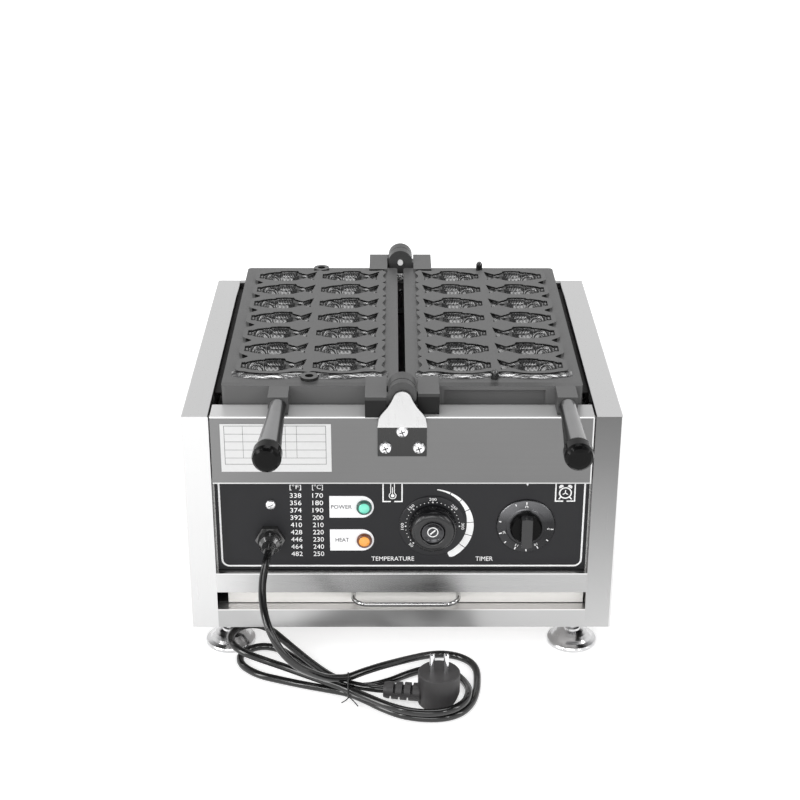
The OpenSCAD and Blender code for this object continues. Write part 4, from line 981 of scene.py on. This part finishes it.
def print_icons(p):
    """A thermometer and an alarm clock in boxes that are open in the lower line."""
    for x0, x1, z in ((-18.1, 0.7, 166.5), (142, 161, 166.9)):
        m = (x0 + x1) / 2
        p.line([(m - 1.6, z), (x0 + 0.6, z), (x0 + 0.6, PRINT_TOP)], 1.2)
        p.line([(m + 1.6, z), (x1 - 0.6, z), (x1 - 0.6, PRINT_TOP)], 1.2)
    x, z = -8.7, 172.6
    p.disc(x, z, 1.7)
    p.ring(x, z, 3.2, 0.7, 30, 122, 418)
    p.line([(x - 1.7, z + 2.7), (x - 1.7, 184.8), (x - 1.0, 186.2), (x + 1.0, 186.2),
            (x + 1.7, 184.8), (x + 1.7, z + 2.7)], 0.7)
    p.line([(x, z), (x, 181.5)], 0.7)
    x, z = 151.6, 175.4
    p.ring(x, z, 5.4, 1.2, 40)
    for dx, dz in ((0, 3.2), (2.4, -1.6), (-2.4, -1.6)):
        p.line([(x, z), (x + dx, z + dz)], 0.9)
    for s in (-1, 1):
        p.area([(x + s * 1.7, z + 6.8), (x + s * 5.6, z + 4.4), (x + s * 6.2, z + 6.6),
                (x + s * 4.8, z + 8.4), (x + s * 2.9, z + 8.6)])
        p.line([(x + s * 4.2, z - 4.4), (x + s * 6.0, z - 6.6)], 1.1)


def print_heat_scale(p):
    """Seven blocks round the temperature dial that grow thicker with the heat."""
    outer_r = 38.5
    at, thick = (-64, -38, -17, 5, 26, 45, 64, 84), (7.4, 7.0, 6.8, 6.4, 4.6, 3.1, 2.0, 0.9)
    blocks = ((64.6, 84), (46.1, 63.4), (27.2, 44.9), (6.2, 26.0), (-15.8, 5.0),
              (-36.8, -17.0), (-64, -38.0))
    for a0, a1 in blocks:
        inner, outer = [], []
        for i in range(9):
            a = a0 + (a1 - a0) * i / 8
            w = float(np.interp(a, at, thick))
            cut = 1 - 0.45 * max(0.0, (-58 - a) / 6) ** 2
            middle = outer_r - w / 2
            inner.append(circle_point(*TEMPERATURE, middle - w / 2 * cut, math.radians(a)))
            outer.append(circle_point(*TEMPERATURE, middle + w / 2 * cut, math.radians(a)))
        p.band(inner, outer)


def add_panel_print():
    """The printing on the black panel and on the two lamps' plates."""
    p = Flat(PANEL)
    print_frame(p)
    print_words(p)
    print_icons(p)
    # pointer over the timer
    p.area([(114.0, 187.2), (118.4, 187.2), (116.2, 182.6)])
    print_heat_scale(p)
    p.disc(TEMPERATURE[0], 112.6, 0.7)
    p.make("panel_print", "housing", "white_print")

    g = Flat(PANEL - 0.7, 0.1)
    g.text("POWER", (-66.0, -46.6, 159.2, 163.2), bold=0.006)
    g.text("HEAT", (-62.2, -49.6, 124.3, 128.4), bold=0.006)
    g.make("plate_print", "housing", "grey_print")


def add_dial_print():
    """The numbers 50 to 300 round the temperature dial, with four dots between two."""
    d = Flat(PANEL - 1.2, 0.1)
    dot_r, word_r, words = 25.2, 28.3, ("50", "100", "150", "200", "250", "300")
    for k, word in enumerate(words):
        a = math.radians(225 - 45 * k)
        d.disc(*circle_point(*TEMPERATURE, dot_r, a), 0.75)
        w = 1.15 * len(word)
        x, z = circle_point(*TEMPERATURE, word_r, a)
        turn = a - math.pi / 2 if math.sin(a) > -0.2 else a + math.pi / 2
        d.text(word, (x - w, x + w, z - 1.35, z + 1.35), turn)
        for j in range(1, 5 if k < len(words) - 1 else 0):
            d.disc(*circle_point(*TEMPERATURE, dot_r, a - math.radians(9 * j)), 0.42)
    d.make("dial_print", "housing", "white_print")


def add_knob():
    """The temperature knob's rounded body and the dished cap in its middle."""
    x, z = TEMPERATURE
    body = lathe("temperature_knob_body", KNOB, x, PANEL - 1.6, z, "temperature_knob",
                 "knob_black", 96)
    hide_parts("temperature_knob")
    dish = lathe("knob_dish", DISH, x, PANEL - 1.6, z, "temperature_knob",
                 "knob_metal", 96)
    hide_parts("knob_cap")


def add_knob_marks():
    """The ring and line in the knob's middle, and the timer's ticks and numbers."""
    k = Flat(PANEL - 1.6 - 11.5, 0.15)
    k.ring(*TEMPERATURE, 4.7, 0.9, 48)
    k.line([(26.3, 138.9), (31.1, 143.1)], 1.3)
    k.make("knob_mark", "temperature_knob", "white_print")

    # long ticks with a number and short ones without
    numbers = {354: "5", 297.6: "10", 247: "15", 196: "20"}
    x, z = TIMER
    t = Flat(PANEL - 0.4 - 2.05, 0.25)
    for a in (354, 325, 297.6, 272, 247, 220.6, 196, 167, 113.7):
        start = 23.2 if a in numbers else 23.8
        t.line([circle_point(x, z, start, math.radians(a)),
                circle_point(x, z, 26, math.radians(a))], 1.0)
    t.line([(x, z + 23.4), (x, z + 26.2)], 1.0)
    t.ring(x, z + 20.8, 1.2, 0.5, 24)
    for a, word in numbers.items():
        b = math.radians(a)
        wx, wz = circle_point(x, z, 21.1, b)
        w = 0.75 * len(word)
        t.text(word, (wx - w, wx + w, wz - 1.15, wz + 1.15), b - math.pi / 2)
    t.make("timer_marks", "timer_knob", "white_print")


def add_lamp_rims():
    for name, z, colour in (("power_lamp_rim", POWER_Z, "green"),
                            ("heat_lamp_rim", HEAT_Z, "orange")):
        lathe(name, LAMP_RIM, LAMP_X, PANEL, z, "housing", colour + "_rim")


def add_screw_marks():
    """Cross recesses in the bracket screws, and the terminal screw with its slot: flat dark marks,
    painted shade that stands for their depth.
    """
    half = 2.7
    for name, y, tilt in (("screw_recesses", -6.02, 0.35), ("rear_screw_recesses", 366.08, 0.2)):
        marks = Flat(y, 0.06)
        for x, z in BRACKET_SCREWS:
            for turn in (tilt, tilt + math.pi / 2):
                marks.line([circle_point(x, z, -half, turn), circle_point(x, z, half, turn)], 0.95)
        marks.make(name, "housing", "dark_mark")
    x, z = TERMINAL
    head = lathe("terminal_screw_head", SCREW_HEAD, x, PANEL, z, "housing",
                 "screw_chrome", 48)
    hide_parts("terminal_screw")
    slot = Flat(PANEL - 3.9, 0.06)
    slot.line([(x - 2.4, z - 1.2), (x + 2.4, z + 1.2)], 0.6)
    slot.make("terminal_slot", "housing", "dark_mark")


def add_plate_rules():
    """The bare rating plate keeps only its border and ruled cells."""
    p = Flat(-0.5, 0.08)
    x0, x1, z0, z1 = -161.3, -69.2, 209.3, 247.7
    rows, columns = (239.6, 231.9, 223.7, 215.6), (-144.5, -105.8, -95.7)
    p.line([(x0, z0), (x1, z0), (x1, z1), (x0, z1)], 0.4, closed=True)
    for z in rows:
        p.line([(x0, z), (x1, z)], 0.3)
    for x in columns:
        p.line([(x, rows[-1]), (x, z1)], 0.3)
    p.make("rating_plate_rules", "housing", "grey_print")


add_panel_print()
add_dial_print()
add_knob()
add_knob_marks()
add_lamp_rims()
add_screw_marks()
add_plate_rules()
